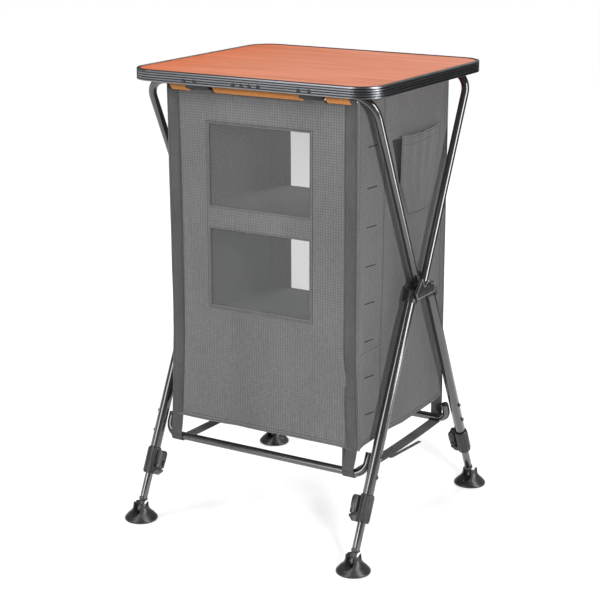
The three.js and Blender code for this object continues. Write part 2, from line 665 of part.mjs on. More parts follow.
for (const [side, sign] of [['left', -1], ['right', 1]]) {
  const middle = sign * (bagHalfWidth - bag.cloth / 2);
  addPiece(cabinet, `bag_side_${side}`, box(middle - bag.cloth / 2, middle + bag.cloth / 2,
    frontInnerY + faceGap, panelBackY, bagBottom, bagTop + bag.sideRise), materials.canvas);
  const stripX = sign * (bagHalfWidth - bag.backStrip / 2);
  addPiece(cabinet, `bag_back_${side}`, box(stripX - bag.backStrip / 2, stripX + bag.backStrip / 2,
    stripFrontY, bagBackY, bagBottom, bagTop), materials.canvas);
}

function bagFloor(top, thickness) {
  const x = sideInnerX - faceGap;
  return box(-x, x, insideFrontY, panelBackY, top - thickness, top);
}

addPiece(cabinet, 'bag_bottom', bagFloor(bagBottom + bag.boardCloth, bag.boardCloth), materials.canvas);
addPiece(cabinet, 'shelf_lower', bagFloor(lowerShelf, bag.boardCloth), materials.canvas);
addPiece(cabinet, 'shelf_upper', bagFloor(upperShelf, bag.boardCloth), materials.canvas);

// The door is rolled up outside the back, under the back bar
const doorRoll = { radius: 17, heightShare: 1.25, gap: 2, drop: 34 };

function makeDoorRoll() {
  const halfLength = bagHalfWidth - bag.backStrip;
  const roll = rodAlongX(doorRoll.radius, -halfLength, halfLength, 0, 0, tubeFacets + 2);
  return roll.scale(1, 1, doorRoll.heightShare).translate(0, bagBackY + doorRoll.gap + doorRoll.radius,
    bagTop - doorRoll.drop);
}

addPiece(cabinet, 'door_roll', makeDoorRoll(), materials.canvas);

// Orange sleeves sewn to the bag's top edge go round the top bars, with gaps for the clips
const sleeve = { wall: 1.8, clearance: 0.6, sideInset: 15, gapMargin: 5 };
const sleeveHalf = bagHalfWidth - sleeve.sideInset;
const clipGapHalf = clip.width / 2 + sleeve.gapMargin;

function barSleeve(x0, x1) {
  const inner = smallTube.radius + sleeve.clearance;
  const outer = inner + sleeve.wall;
  const tube = rodAlongX(outer, x0, x1, -topBarY, topBarZ, 2 * tubeFacets);
  const tail = box(x0, x1, -topBarY - outer, -topBarY - inner, bagTop + faceGap, topBarZ);
  const bore = rodAlongX(inner, x0 - overrun, x1 + overrun, -topBarY, topBarZ, 2 * tubeFacets);
  return cut(joined(tube, tail), bore);
}

const sleeveSpans = [
  ['left', -sleeveHalf, -clipX - clipGapHalf],
  ['middle', -clipX + clipGapHalf, clipX - clipGapHalf],
  ['right', clipX + clipGapHalf, sleeveHalf],
];
for (const [place, x0, x1] of sleeveSpans) {
  addPiece(cabinet, `front_sleeve_${place}`, barSleeve(x0, x1), materials.hem);
}
const [, middleStart, middleEnd] = sleeveSpans[1];
addPiece(cabinet, 'back_sleeve', barSleeve(middleStart, middleEnd), materials.hem).rotation.z = Math.PI;

// Side pocket: an outer panel drawn in to a narrow bottom, open at the top and against the bag
const pocket = { depth: 11, wall: 1.8, topDrop: 86, neckDrop: 178, bottomDrop: 252, backMargin: 37,
  bottomBackMargin: 79, bottomFrontMargin: 181, neckMargin: 222, topFrontMargin: 257 };
const pocketTop = bagTop - pocket.topDrop;

function sidePocket() {
  const outline = (inset, topZ) => {
    const shape = new THREE.Shape();
    const bottomZ = bagTop - pocket.bottomDrop + inset;
    shape.moveTo(bagBackY - pocket.bottomFrontMargin + inset, bottomZ);
    shape.lineTo(bagBackY - pocket.bottomBackMargin - inset, bottomZ);
    shape.lineTo(bagBackY - pocket.backMargin - inset, topZ);
    shape.lineTo(bagBackY - pocket.topFrontMargin + inset, topZ);
    shape.lineTo(bagBackY - pocket.neckMargin + inset, bagTop - pocket.neckDrop);
    shape.closePath();
    return shape;
  };
  const start = bagHalfWidth + faceGap;
  const end = start + pocket.depth;
  return cut(extrudedAlongX(outline(0, pocketTop), start, end),
    extrudedAlongX(outline(pocket.wall, pocketTop + overrun), start - overrun, end - pocket.wall));
}

addPiece(cabinet, 'side_pocket', sidePocket(), materials.canvas);

// Bottom straps wrap both lower bars; back straps run up the back corners
const strapCentre = smallTube.radius + faceGap + strap.thickness / 2;

function bottomStrap() {
  const rise = bagBottom - faceGap;
  const path = new BentPath([
    [-lowerBarY - strapCentre, rise],
    [-lowerBarY - strapCentre, lowerBarHeight - strapCentre, strapCentre],
    [lowerBarY + strapCentre, lowerBarHeight - strapCentre, strapCentre],
    [lowerBarY + strapCentre, rise],
  ], (a, b) => new THREE.Vector3(0, a, b));
  const section = new THREE.Shape();
  section.moveTo(-strap.thickness / 2, -strap.width / 2);
  section.lineTo(strap.thickness / 2, -strap.width / 2);
  section.lineTo(strap.thickness / 2, strap.width / 2);
  section.lineTo(-strap.thickness / 2, strap.width / 2);
  section.closePath();
  return sweep(section, path);
}

for (const [side, sign] of [['left', -1], ['right', 1]]) {
  addPiece(cabinet, `bottom_strap_${side}`, bottomStrap(), materials.webbing).position.x = sign * strapX;
  addPiece(cabinet, `back_strap_${side}`, box(sign * strapX - strap.width / 2, sign * strapX + strap.width / 2,
    bagBackY + faceGap, bagBackY + faceGap + strap.thickness, bagBottom, bagTop), materials.webbing);
}

export default cabinet;
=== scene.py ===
import math

import bmesh
import bpy
from mathutils import Matrix, Vector, noise


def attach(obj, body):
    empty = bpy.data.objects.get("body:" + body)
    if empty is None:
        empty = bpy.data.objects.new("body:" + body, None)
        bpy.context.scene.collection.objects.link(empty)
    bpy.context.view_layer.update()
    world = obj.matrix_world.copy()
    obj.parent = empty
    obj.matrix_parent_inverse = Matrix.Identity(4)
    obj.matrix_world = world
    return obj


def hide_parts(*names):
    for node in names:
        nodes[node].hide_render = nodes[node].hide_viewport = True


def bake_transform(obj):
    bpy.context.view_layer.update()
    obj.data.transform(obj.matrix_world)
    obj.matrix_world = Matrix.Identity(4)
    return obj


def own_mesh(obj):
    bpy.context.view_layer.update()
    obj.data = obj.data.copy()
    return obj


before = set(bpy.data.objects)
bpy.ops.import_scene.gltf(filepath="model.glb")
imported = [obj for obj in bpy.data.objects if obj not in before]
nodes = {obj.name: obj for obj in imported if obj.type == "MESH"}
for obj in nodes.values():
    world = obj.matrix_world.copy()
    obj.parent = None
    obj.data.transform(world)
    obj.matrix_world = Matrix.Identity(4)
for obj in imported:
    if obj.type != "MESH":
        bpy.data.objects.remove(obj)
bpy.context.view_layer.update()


# Tabletop board. An 8 mm board with a reddish wood-grain face, its grain running from left to right.
# It lies in the aluminium edge rail, under the rail's thin lip, and its corners are cut to the rail.
def start_finish(name, roughness, metallic=0.0):
    finish = bpy.data.materials.new(name)
    finish.use_nodes = True
    shader = finish.node_tree.nodes["Principled BSDF"]
    shader.inputs["Roughness"].default_value = roughness
    shader.inputs["Metallic"].default_value = metallic
    return finish, shader


def wire(finish, output, socket):
    finish.node_tree.links.new(output, socket)


def add(finish, kind, inputs=(), **settings):
    made = finish.node_tree.nodes.new(kind)
    for key, value in settings.items():
        setattr(made, key, value)
    for socket, value in dict(inputs).items():
        if isinstance(value, bpy.types.NodeSocket):
            wire(finish, value, made.inputs[socket])
        else:
            made.inputs[socket].default_value = value
    return made


def own_place(finish):
    return add(finish, "ShaderNodeTexCoord").outputs["Object"]


def own_axes(finish):
    return add(finish, "ShaderNodeSeparateXYZ", {"Vector": own_place(finish)}).outputs


def grain(finish, stretch, scale, detail, distortion=0.0):
    place = add(finish, "ShaderNodeMapping", {"Vector": own_place(finish), "Scale": stretch})
    return add(finish, "ShaderNodeTexNoise", {
        "Vector": place.outputs[0], "Scale": scale, "Detail": detail, "Distortion": distortion,
    }).outputs["Fac"]


def shades(finish, amount, *stops):
    ramp = add(finish, "ShaderNodeValToRGB", {"Fac": amount})
    while len(ramp.color_ramp.elements) < len(stops):
        ramp.color_ramp.elements.new(0.5)
    for element, (position, colour) in zip(ramp.color_ramp.elements, stops):
        element.position = position
        element.color = (*colour, 1)
    return ramp.outputs["Color"]


def spread(finish, amount, low, high, start=0.0, end=1.0):
    return add(finish, "ShaderNodeMapRange", {
        "Value": amount, "From Min": start, "From Max": end, "To Min": low, "To Max": high,
    }).outputs["Result"]


def tinted(finish, colour, amount):
    mix = add(finish, "ShaderNodeMix", data_type="RGBA", blend_type="MULTIPLY")
    mix.inputs["Factor"].default_value = 1
    wire(finish, colour, mix.inputs["A"])
    wire(finish, amount, mix.inputs["B"])
    return mix.outputs["Result"]


def embossed(finish, shader, height, depth, strength=1.0):
    bump = add(finish, "ShaderNodeBump", {"Height": height, "Distance": depth, "Strength": strength})
    wire(finish, bump.outputs["Normal"], shader.inputs["Normal"])


wood_tones = ((0.28, (0.62, 0.20, 0.085)), (0.5, (0.76, 0.28, 0.13)), (0.72, (0.82, 0.35, 0.20)))
streak_tones = ((0.3, (0.86, 0.83, 0.8)), (0.6, (1, 1, 1)))
# The third set of tones is a painted warm sheen: the face turns orange towards its left end and paler towards
# its right.
painted_sheen_tones = ((0.0, (1.16, 0.66, 0.32)), (0.4, (1.16, 0.88, 0.75)), (1.0, (1.2, 1.04, 1.12)))
painted_sheen_left_x, painted_sheen_right_x = -0.27, 0.02

wood, wood_shader = start_finish("wood_face", 0.34)
figure = grain(wood, (1.1, 9, 9), 3.4, 6, 0.6)
streaks = grain(wood, (2.5, 120, 120), 3.0, 3, 0.2)
# Painted sheen across the face, from the board's left end to a little right of its middle.
aside = spread(wood, own_axes(wood)["X"], 0, 1, painted_sheen_left_x, painted_sheen_right_x)
wood_colour = tinted(wood, shades(wood, figure, *wood_tones), shades(wood, streaks, *streak_tones))
wood_colour = tinted(wood, wood_colour, shades(wood, aside, *painted_sheen_tones))
wire(wood, wood_colour, wood_shader.inputs["Base Color"])
wire(wood, spread(wood, streaks, 0.44, 0.3), wood_shader.inputs["Roughness"])
wood_shader.inputs["Coat Weight"].default_value = 0.12
wood_shader.inputs["Coat Roughness"].default_value = 0.22
embossed(wood, wood_shader, streaks, 0.00012)


def refinish(node, finish):
    surface = nodes[node].data
    surface.materials.clear()
    surface.materials.append(finish)


refinish("tabletop_board", wood)

# Edge rail. An extruded aluminium profile, anodised dark grey, bent round the board's four corners.
# Its face has fine ribs, a lip holds the board down, and the two ends meet at the middle of the front.
rail_half_x, rail_half_y, rail_bend = 0.275, 0.2475, 0.054
rail_bottom, rail_top, rail_wall = 0.9175, 0.94, 0.0016
lip_reach, lip_thick, lip_edge = 0.007, 0.001, 0.0004
shelf_reach, shelf_top, shelf_thick = 0.011, 0.9304, 0.0014
foot_reach, foot_edge = 0.005, 0.0006
rib_count, first_rib, rib_pitch = 4, 0.0049, 0.0042
rib_depth, rib_floor = 0.0007, 0.0003
rail_joint_x, rail_joint_gap = 0.003, 0.0003
# How many light bands are painted up the rail's face, as highlights and shade of its ribs.
painted_rib_shading_turns = 4.75
bend_steps = 12


def worked(finish, operation, *values):
    return add(finish, "ShaderNodeMath", dict(enumerate(values)), operation=operation).outputs[0]


rail_finish, rail_shader = start_finish("anodised_rail", 0.3, 1.0)
drawn = grain(rail_finish, (3, 3, 900), 2.2, 2)
# Painted highlights and painted shade of the ribs: light and dark bands repeating up the face.
painted_rib_shading = spread(rail_finish, own_axes(rail_finish)["Z"], 0, math.tau * painted_rib_shading_turns, rail_bottom, rail_top)
painted_rib_shading = worked(rail_finish, "SINE", painted_rib_shading)
rail_colour = shades(rail_finish, drawn, (0.3, (0.15, 0.155, 0.165)), (0.7, (0.26, 0.267, 0.285)))
rail_colour = tinted(rail_finish, rail_colour, shades(rail_finish, spread(rail_finish, painted_rib_shading, 0, 1, -1, 1),
                                                      (0.1, (0.22, 0.22, 0.22)), (0.7, (1.3, 1.3, 1.3))))
wire(rail_finish, rail_colour, rail_shader.inputs["Base Color"])
wire(rail_finish, spread(rail_finish, drawn, 0.24, 0.36), rail_shader.inputs["Roughness"])
embossed(rail_finish, rail_shader, drawn, 0.00008)


def skin(shape, rings, closed=False):
    for near, far in zip(rings, rings[1:] + (rings[:1] if closed else [])):
        for i in range(len(near)):
            j = (i + 1) % len(near)
            shape.faces.new((near[i], near[j], far[j], far[i]))


def sweep(shape, stations, section, closed=False):
    rings = [[shape.verts.new(centre + across * (u * size) + up * (v * size)) for u, v in section]
             for centre, across, up, size in stations]
    skin(shape, rings, closed)
    if not closed:
        shape.faces.new(rings[0])
        shape.faces.new(rings[-1][::-1])


def arc(x, y, radius, start, end, steps):
    angles = [math.radians(start + (end - start) * i / steps) for i in range(steps + 1)]
    return [(x + radius * math.cos(a), y + radius * math.sin(a)) for a in angles]


def make_piece(name, shape, finish, body, place=None, crease=35):
    mesh = bpy.data.meshes.new(name)
    if place is not None:
        bmesh.ops.transform(shape, matrix=place, verts=shape.verts)
    bmesh.ops.recalc_face_normals(shape, faces=shape.faces)
    shape.to_mesh(mesh)
    shape.free()
    for polygon in mesh.polygons:
        polygon.use_smooth = True
    mesh.set_sharp_from_angle(angle=math.radians(crease))
    mesh.materials.append(finish)
    made = bpy.data.objects.new(name, mesh)
    bpy.context.scene.collection.objects.link(made)
    if body:
        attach(made, body)
    return made


def rail_stations():
    outline = []
    for x, y, start in ((1, 1, 0), (-1, 1, 90), (-1, -1, 180), (1, -1, 270)):
        corner_x, corner_y = x * (rail_half_x - rail_bend), y * (rail_half_y - rail_bend)
        for i in range(bend_steps + 1):
            angle = math.radians(start + 90 * i / bend_steps)
            inward = Vector((-math.cos(angle), -math.sin(angle), 0))
            outline.append((Vector((corner_x, corner_y, 0)) - inward * rail_bend, inward))
    front_right = 3 * (bend_steps + 1)
    first, last = ((Vector((rail_joint_x + gap, -rail_half_y, 0)), Vector((0, 1, 0)))
                   for gap in (-rail_joint_gap / 2, rail_joint_gap / 2))
    walk = [last] + outline[front_right:] + outline[:front_right] + [first]
    return [(point, inward, Vector((0, 0, 1)), 1) for point, inward in walk]


def rail_section():
    face = [(foot_edge, rail_bottom), (0, rail_bottom + foot_edge)]
    for i in range(rib_count):
        rib = rail_bottom + first_rib + i * rib_pitch
        face += [(0, rib - rib_depth), (rib_depth, rib - rib_floor), (rib_depth, rib + rib_floor),
                 (0, rib + rib_depth)]
    lip = [(0, rail_top - 3 * lip_edge), (lip_edge, rail_top - lip_edge), (3 * lip_edge, rail_top),
           (lip_reach - lip_edge, rail_top), (lip_reach, rail_top - lip_edge),
           (lip_reach, rail_top - lip_thick), (rail_wall, rail_top - lip_thick)]
    shelf = [(rail_wall, shelf_top), (shelf_reach, shelf_top), (shelf_reach, shelf_top - shelf_thick),
             (rail_wall, shelf_top - shelf_thick)]
    foot = [(rail_wall, rail_bottom + rail_wall), (foot_reach, rail_bottom + rail_wall),
            (foot_reach, rail_bottom)]
    return face + lip + shelf + foot


shape = bmesh.new()
sweep(shape, rail_stations(), rail_section())
edge_rail = make_piece("rail_profile", shape, rail_finish, "root", crease=28)
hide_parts("edge_rail")


# Rail fixings. A flat steel joiner bridges the two rail ends inside the channel, held by four blind
# rivets, and two more rivets hold each clip and hook. The rivets are blackened.
def mottled(finish, shader, blotches, dark, light, roughness=None):
    wire(finish, shades(finish, blotches, (0.3, dark), (0.7, light)), shader.inputs["Base Color"])
    if roughness:
        wire(finish, spread(finish, blotches, *roughness), shader.inputs["Roughness"])


steel, steel_shader = start_finish("zinc_steel", 0.3, 1.0)
mottled(steel, steel_shader, grain(steel, (1, 1, 1), 420, 3), (0.42, 0.42, 0.43), (0.62, 0.62, 0.63),
        (0.22, 0.4))
refinish("rail_joiner", steel)

black_steel, black_steel_shader = start_finish("blackened_rivet", 0.24, 0.9)
mottled(black_steel, black_steel_shader, grain(black_steel, (1, 1, 1), 500, 2),
        (0.05, 0.05, 0.052), (0.10, 0.10, 0.104))


def lathe(shape, profile, facets, place=Matrix()):
    turns = [(math.cos(math.tau * i / facets), math.sin(math.tau * i / facets)) for i in range(facets)]
    previous = None
    for radius, height in profile:
        if radius == 0:
            current = [shape.verts.new(place @ Vector((0, 0, height)))]
        else:
            current = [shape.verts.new(place @ Vector((radius * c, radius * s, height))) for c, s in turns]
        if previous:
            for i in range(facets):
                j = (i + 1) % facets
                if len(previous) == 1:
                    shape.faces.new((previous[0], current[i], current[j]))
                elif len(current) == 1:
                    shape.faces.new((previous[i], previous[j], current[0]))
                else:
                    shape.faces.new((previous[i], previous[j], current[j], current[i]))
        previous = current


def facing(point, direction):
    turn = Vector((0, 0, 1)).rotation_difference(Vector(direction)).to_matrix().to_4x4()
    return Matrix.Translation(point) @ turn


def rivet_head(radius, height):
    return [(0, -height), (radius * 0.9, -height), (radius, -height * 0.6), (radius, height * 0.15),
            (radius * 0.85, height * 0.6), (radius * 0.55, height * 0.85), (radius * 0.45, height * 0.45),
            (0, height * 0.35)]


rivet_z, rivet_stand = 0.9247, 0.0001
rail_rivet = rivet_head(0.0039, 0.0021)
rivet_rows = (
    ("front", -1, (-0.137, -0.113, -0.025, -0.006, 0.012, 0.031, 0.119, 0.142)),
    ("back", 1, (-0.14, -0.116, 0.116, 0.14)),
)
for row, outward_y, places in rivet_rows:
    rivets = bmesh.new()
    for x in places:
        seat = (x, outward_y * (rail_half_y + rivet_stand), rivet_z)
        lathe(rivets, rail_rivet, 22, facing(seat, (0, outward_y, 0)))
    make_piece(f"rail_rivets_{row}", rivets, black_steel, "root")

# Clips and hooks. Two moulded clips under the front of the tabletop close round the front bar, and
# two open hooks at the back drop over the back bar. They are black nylon, riveted into the rail.
clip_edge = 0.0006

nylon, nylon_shader = start_finish("moulded_nylon", 0.34)
mottled(nylon, nylon_shader, grain(nylon, (1, 1, 1), 30, 3), (0.017, 0.017, 0.018), (0.034, 0.034, 0.036),
        (0.24, 0.38))
embossed(nylon, nylon_shader, grain(nylon, (1, 1, 1), 900, 3), 0.00006)

for node in ("front_clip_left", "front_clip_right", "back_hook_left", "back_hook_right"):
    shape = bmesh.new()
    shape.from_mesh(nodes[node].data)
    bmesh.ops.remove_doubles(shape, verts=shape.verts, dist=1e-5)
    bmesh.ops.dissolve_limit(shape, angle_limit=math.radians(1), verts=shape.verts, edges=shape.edges)
    sharp = [e for e in shape.edges if len(e.link_faces) == 2 and e.calc_face_angle() > math.radians(40)]
    bmesh.ops.bevel(shape, geom=sharp, offset=clip_edge, segments=2, profile=0.5, affect="EDGES",
                    clamp_overlap=True)
    moulding = make_piece(f"{node}_moulding", shape, nylon, "root")
    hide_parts(node)

# Scissor frame tubes. Each end frame is one 16 mm steel tube bent into a wide hoop, painted a dark
# glossy grey. The lower bars are the same tube, their ends turned up and riveted to the legs.
hub_z = 0.52
lean = Matrix.Rotation(math.radians(25.412), 4, "X")
members = {
    "front_arm": Matrix.Translation((0, 0, hub_z)) @ lean,
    "back_arm": Matrix.Translation((0, 0, hub_z)) @ Matrix.Rotation(math.pi, 4, "Z") @ lean,
}
frame_x = 0.254
small_tube = 0.008
hoop_y, hoop_top, hoop_foot, hoop_bend = -0.0139, 0.44611, -0.008, 0.045
riser_x, bar_rise, bar_bend = 0.2347, 0.044, 0.026
bar_world_y, bar_world_z = 0.187, 0.170
foot_gap = 0.001
rounded_ends = ((0.0006, 0.97), (0.0004, 0.86))

paint, paint_shader = start_finish("tube_paint", 0.2, 0.9)
mottled(paint, paint_shader, grain(paint, (1, 1, 0.3), 9, 4), (0.10, 0.10, 0.104), (0.14, 0.14, 0.145),
        (0.13, 0.22))
paint_shader.inputs["Coat Weight"].default_value = 0.6
paint_shader.inputs["Coat Roughness"].default_value = 0.06


def bent_line(corners, steps=10):
    points = []
    for i, corner in enumerate(corners):
        here = Vector(corner[0])
        bend = corner[1] if len(corner) > 1 else 0
        if not bend:
            points.append(here)
            continue
        back = (Vector(corners[i - 1][0]) - here).normalized()
        ahead = (Vector(corners[i + 1][0]) - here).normalized()
        half = back.angle(ahead) / 2
        middle = here + (back + ahead).normalized() * (bend / math.sin(half))
        start = here + back * (bend / math.tan(half)) - middle
        end = here + ahead * (bend / math.tan(half)) - middle
        points += [middle + start.slerp(end, j / steps) * bend / start.slerp(end, j / steps).length
                   for j in range(steps + 1)]
    return points


def along(points, side, ends=()):
    stations = []
    side = Vector(side)
    for i, point in enumerate(points):
        before = point - points[max(i - 1, 0)]
        after = points[min(i + 1, len(points) - 1)] - point
        heading = (before.normalized() + after.normalized()).normalized()
        stations.append((point, side, heading.cross(side).normalized(), 1))
    for gap, size in ends:
        for index, sign in ((0, 1), (-1, -1)):
            point, across, up, _ = stations[index]
            neighbour = stations[index + sign][0]
            moved = point - (neighbour - point).normalized() * gap
            stations.insert(0 if sign == 1 else len(stations), (moved, across, up, size))
    return stations


def disc(radius, facets=28):
    return arc(0, 0, radius, 0, 360 * (facets - 1) / facets, facets - 1)


def tube(shape, corners, radius):
    sweep(shape, along(bent_line(corners, 12), (0, 1, 0), rounded_ends), disc(radius))


def trim(shape, point, normal):
    cut = bmesh.ops.bisect_plane(shape, geom=shape.verts[:] + shape.edges[:] + shape.faces[:],
                                 plane_co=point, plane_no=normal, clear_outer=True)
    loose = [e for e in cut["geom_cut"] if isinstance(e, bmesh.types.BMEdge)]
    bmesh.ops.holes_fill(shape, edges=loose)


def cover(node, ending, shape, finish, body, place=None, crease=35):
    made = make_piece(f"{node}_{ending}", shape, finish, body, place, crease)
    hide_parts(node)
    return made


level = members["front_arm"].to_3x3().inverted() @ Vector((0, 0, 1))

for body, hoop in (("front_arm", "upper_frame_front"), ("back_arm", "upper_frame_back")):
    shape = bmesh.new()
    tube(shape, [((-frame_x, hoop_y, hoop_foot),), ((-frame_x, hoop_y, hoop_top), hoop_bend),
                 ((frame_x, hoop_y, hoop_top), hoop_bend), ((frame_x, hoop_y, hoop_foot),)], small_tube)
    trim(shape, level * -foot_gap, -level)
    cover(hoop, "tube", shape, paint, body, members[body])

bar_centre = members["front_arm"].inverted() @ Vector((0, bar_world_y, bar_world_z))
bar_y, bar_z = bar_centre.y, bar_centre.z
for body, bar in (("front_arm", "lower_bar_back"), ("back_arm", "lower_bar_front")):
    shape = bmesh.new()
    tube(shape, [((-riser_x, bar_y, bar_z + bar_rise),), ((-riser_x, bar_y, bar_z), bar_bend),
                 ((riser_x, bar_y, bar_z), bar_bend), ((riser_x, bar_y, bar_z + bar_rise),)], small_tube)
    cover(bar, "tube", shape, paint, body, members[body])

# Outer legs. Straight 22 mm tubes, a size up from the hoops, that hang from the hubs and take the
# sliding inner legs. Two dark rivets through each leg hold the turned-up end of the lower bar.
legs = {
    "back_left": ("front_arm", -1, -1, 1),
    "back_right": ("front_arm", 1, 1, 1),
    "front_left": ("back_arm", 1, -1, -1),
    "front_right": ("back_arm", -1, 1, -1),
}
leg_y, leg_tube = 0.0262, 0.011
leg_bottom, leg_top, leg_cut = -0.477, 0.01, -0.0077
leg_rivet = rivet_head(0.0044, 0.0034)
rivet_sink, rivet_gap = 0.0003, 0.042

for corner, (body, own_side, side_x, side_y) in legs.items():
    leg_x = own_side * frame_x
    shape = bmesh.new()
    tube(shape, [((leg_x, leg_y, leg_bottom),), ((leg_x, leg_y, leg_top),)], leg_tube)
    trim(shape, level * leg_cut, level)
    cover(f"lower_leg_{corner}", "tube", shape, paint, body, members[body])
    rivets = bmesh.new()
    for height in (bar_z, bar_z + rivet_gap):
        outside = Vector((leg_x + own_side * (leg_tube - rivet_sink), leg_y, height))
        lathe(rivets, leg_rivet, 20, facing(outside, (own_side, 0, 0)))
    make_piece(f"bar_rivets_{corner}", rivets, black_steel, body, members[body])

# Scissor hubs. On each side two moulded halves cross and turn on a steel pin. A half holds the foot
# of one hoop in a saddle and the top of a leg in a sleeve, joined by a peaked plate with a boss.
sleeve_radius, sleeve_bore, sleeve_cuff = 0.0137, 0.0113, 0.0144
sleeve_low, sleeve_top, sleeve_seat = -0.046, 0.02, -0.03
plate_near, plate_far = 0.014, 0.019
saddle_half, saddle_bore, saddle_edge = 0.0109, 0.0083, 0.001
saddle_low, saddle_long = -0.028, 0.045
hub_edge, small_edge, rim_radius = 0.0009, 0.0006, 0.0009
hub_bottom = -0.0215
cheek_y = hoop_y - saddle_half - 0.027


def plate(shape, outline, thickness, edge, place):
    near = [shape.verts.new(place @ Vector((x, y, 0))) for x, y in outline]
    far = [shape.verts.new(place @ Vector((x, y, thickness))) for x, y in outline]
    bottom = shape.faces.new(near[::-1])
    top = shape.faces.new(far)
    count = len(outline)
    for i in range(count):
        shape.faces.new((near[i], near[(i + 1) % count], far[(i + 1) % count], far[i]))
    if edge:
        bmesh.ops.bevel(shape, geom=[*bottom.edges, *top.edges], offset=edge, segments=2, profile=0.5,
                        affect="EDGES")


def at_level(y, height):
    return (y, (height - y * level.y) / level.z)


def along_x(x):
    return Matrix(((0, 0, 1, x), (1, 0, 0, 0), (0, 1, 0, 0), (0, 0, 0, 1)))


def along_y(y):
    return Matrix(((1, 0, 0, 0), (0, 0, 1, y), (0, 1, 0, 0), (0, 0, 0, 1)))


def at_side(x, plain):
    return Matrix.Translation((x, 0, 0)) @ (Matrix() if plain else Matrix.Scale(-1, 4, (1, 0, 0)))


def hub_outline():
    outline = [at_level(0.0150, hub_bottom), at_level(0.0172, -0.0200), (0.0236, -0.0190), (0.0222, -0.0155)]
    outline += arc(0, 0, 0.0076, -10, 100, 10)
    outline += [(hoop_y + 0.001, 0.0052), (hoop_y - 0.0016, 0.0062), (hoop_y - 0.0024, 0.009)]
    outline += arc(hoop_y - 0.0046, 0.0244, 0.0022, 0, 150, 5)
    outline += [(cheek_y + 0.002, 0.0145)] + arc(cheek_y + 0.002, 0.0115, 0.003, 100, 180, 3)
    outline += [at_level(cheek_y, -0.0190), at_level(cheek_y + 0.0035, hub_bottom)]
    return outline


def saddle():
    shape = bmesh.new()
    block = [(0.0004, -saddle_half), (plate_near, -saddle_half)]
    block += [(plate_near + saddle_edge, -saddle_half + saddle_edge)]
    block += [(plate_near + saddle_edge, saddle_half - saddle_edge)]
    block += [(plate_near, saddle_half), (0.0004, saddle_half), (0.0004, saddle_bore)]
    block += arc(0, 0, saddle_bore, 86, -86, 14) + [(0.0004, -saddle_bore)]
    plate(shape, block, saddle_long, small_edge, Matrix.Translation((0, hoop_y, saddle_low)))
    trim(shape, level * -0.001, -level)
    trim(shape, level * 0.0065, level)
    return shape


def sleeve():
    shape = bmesh.new()
    centre = Matrix.Translation((0, leg_y, 0))
    lathe(shape, [(sleeve_bore, sleeve_low), (0.0131, sleeve_low), (sleeve_cuff, sleeve_low + 0.0008),
                  (sleeve_cuff, sleeve_low + 0.0058), (sleeve_radius, sleeve_low + 0.0066),
                  (sleeve_radius, sleeve_top), (0, sleeve_top)], 40, centre)
    lathe(shape, [(sleeve_bore, sleeve_low), (sleeve_bore, sleeve_seat), (0, sleeve_seat)], 40, centre)
    for i in range(5):
        rib = -0.036 + 0.0035 * i
        lathe(shape, [(0.0134, rib), (0.0143, rib + 0.0005), (0.0143, rib + 0.0012), (0.0134, rib + 0.0017)],
              40, centre)
    web_far, web_edge = plate_far - 0.0015, 0.0015
    web_low_y = leg_y - sleeve_radius / 2
    plate(shape, [(0, web_low_y), (web_far, web_low_y), (plate_far, web_low_y + web_edge),
                  (plate_far, leg_y - web_edge), (web_far, leg_y), (0, leg_y)], 0.06, small_edge,
          Matrix.Translation((0, 0, sleeve_low + small_edge)))
    trim(shape, level * -0.005, level)
    return shape


def hub_shape():
    shape = bmesh.new()
    plate(shape, hub_outline()[::-1], plate_far - plate_near, hub_edge, along_x(plate_near))
    for part in (saddle(), sleeve()):
        copied = bpy.data.meshes.new("hub_part")
        part.to_mesh(copied)
        part.free()
        shape.from_mesh(copied)
        bpy.data.meshes.remove(copied)
    return shape


def hub_rim():
    shape = bmesh.new()
    line = [Vector((plate_far - 0.0002, y, z)) for y, z in hub_outline()]
    stations = []
    for before, here, after in zip(line[-1:] + line[:-1], line, line[1:] + line[:1]):
        across = (after - before).normalized().cross(Vector((1, 0, 0)))
        stations.append((here - across * rim_radius, across, Vector((1, 0, 0)), 1))
    sweep(shape, stations, disc(rim_radius, 8), True)
    return shape


# Painted highlight: a pale grey nylon for the bead round each hub plate, standing for the light its raised
# rim catches.
painted_rim_highlight, painted_rim_highlight_shader = start_finish("painted_rim_highlight_nylon", 0.3)
mottled(painted_rim_highlight, painted_rim_highlight_shader, grain(painted_rim_highlight, (1, 1, 1), 120, 3), (0.15, 0.15, 0.152), (0.34, 0.34, 0.345))

sides = (("left", -1), ("right", 1))
for half, body in (("outer", "front_arm"), ("inner", "back_arm")):
    for side, sign in sides:
        own_x = (sign if half == "outer" else -sign) * frame_x
        place = members[body] @ at_side(own_x, (half == "outer") == (own_x > 0))
        cover(f"hub_{half}_{side}", "moulding", hub_shape(), nylon, body, place, 30)
        # The bead carries the painted rim highlight.
        make_piece(f"hub_rim_{half}_{side}", hub_rim(), painted_rim_highlight, body, place, 40)

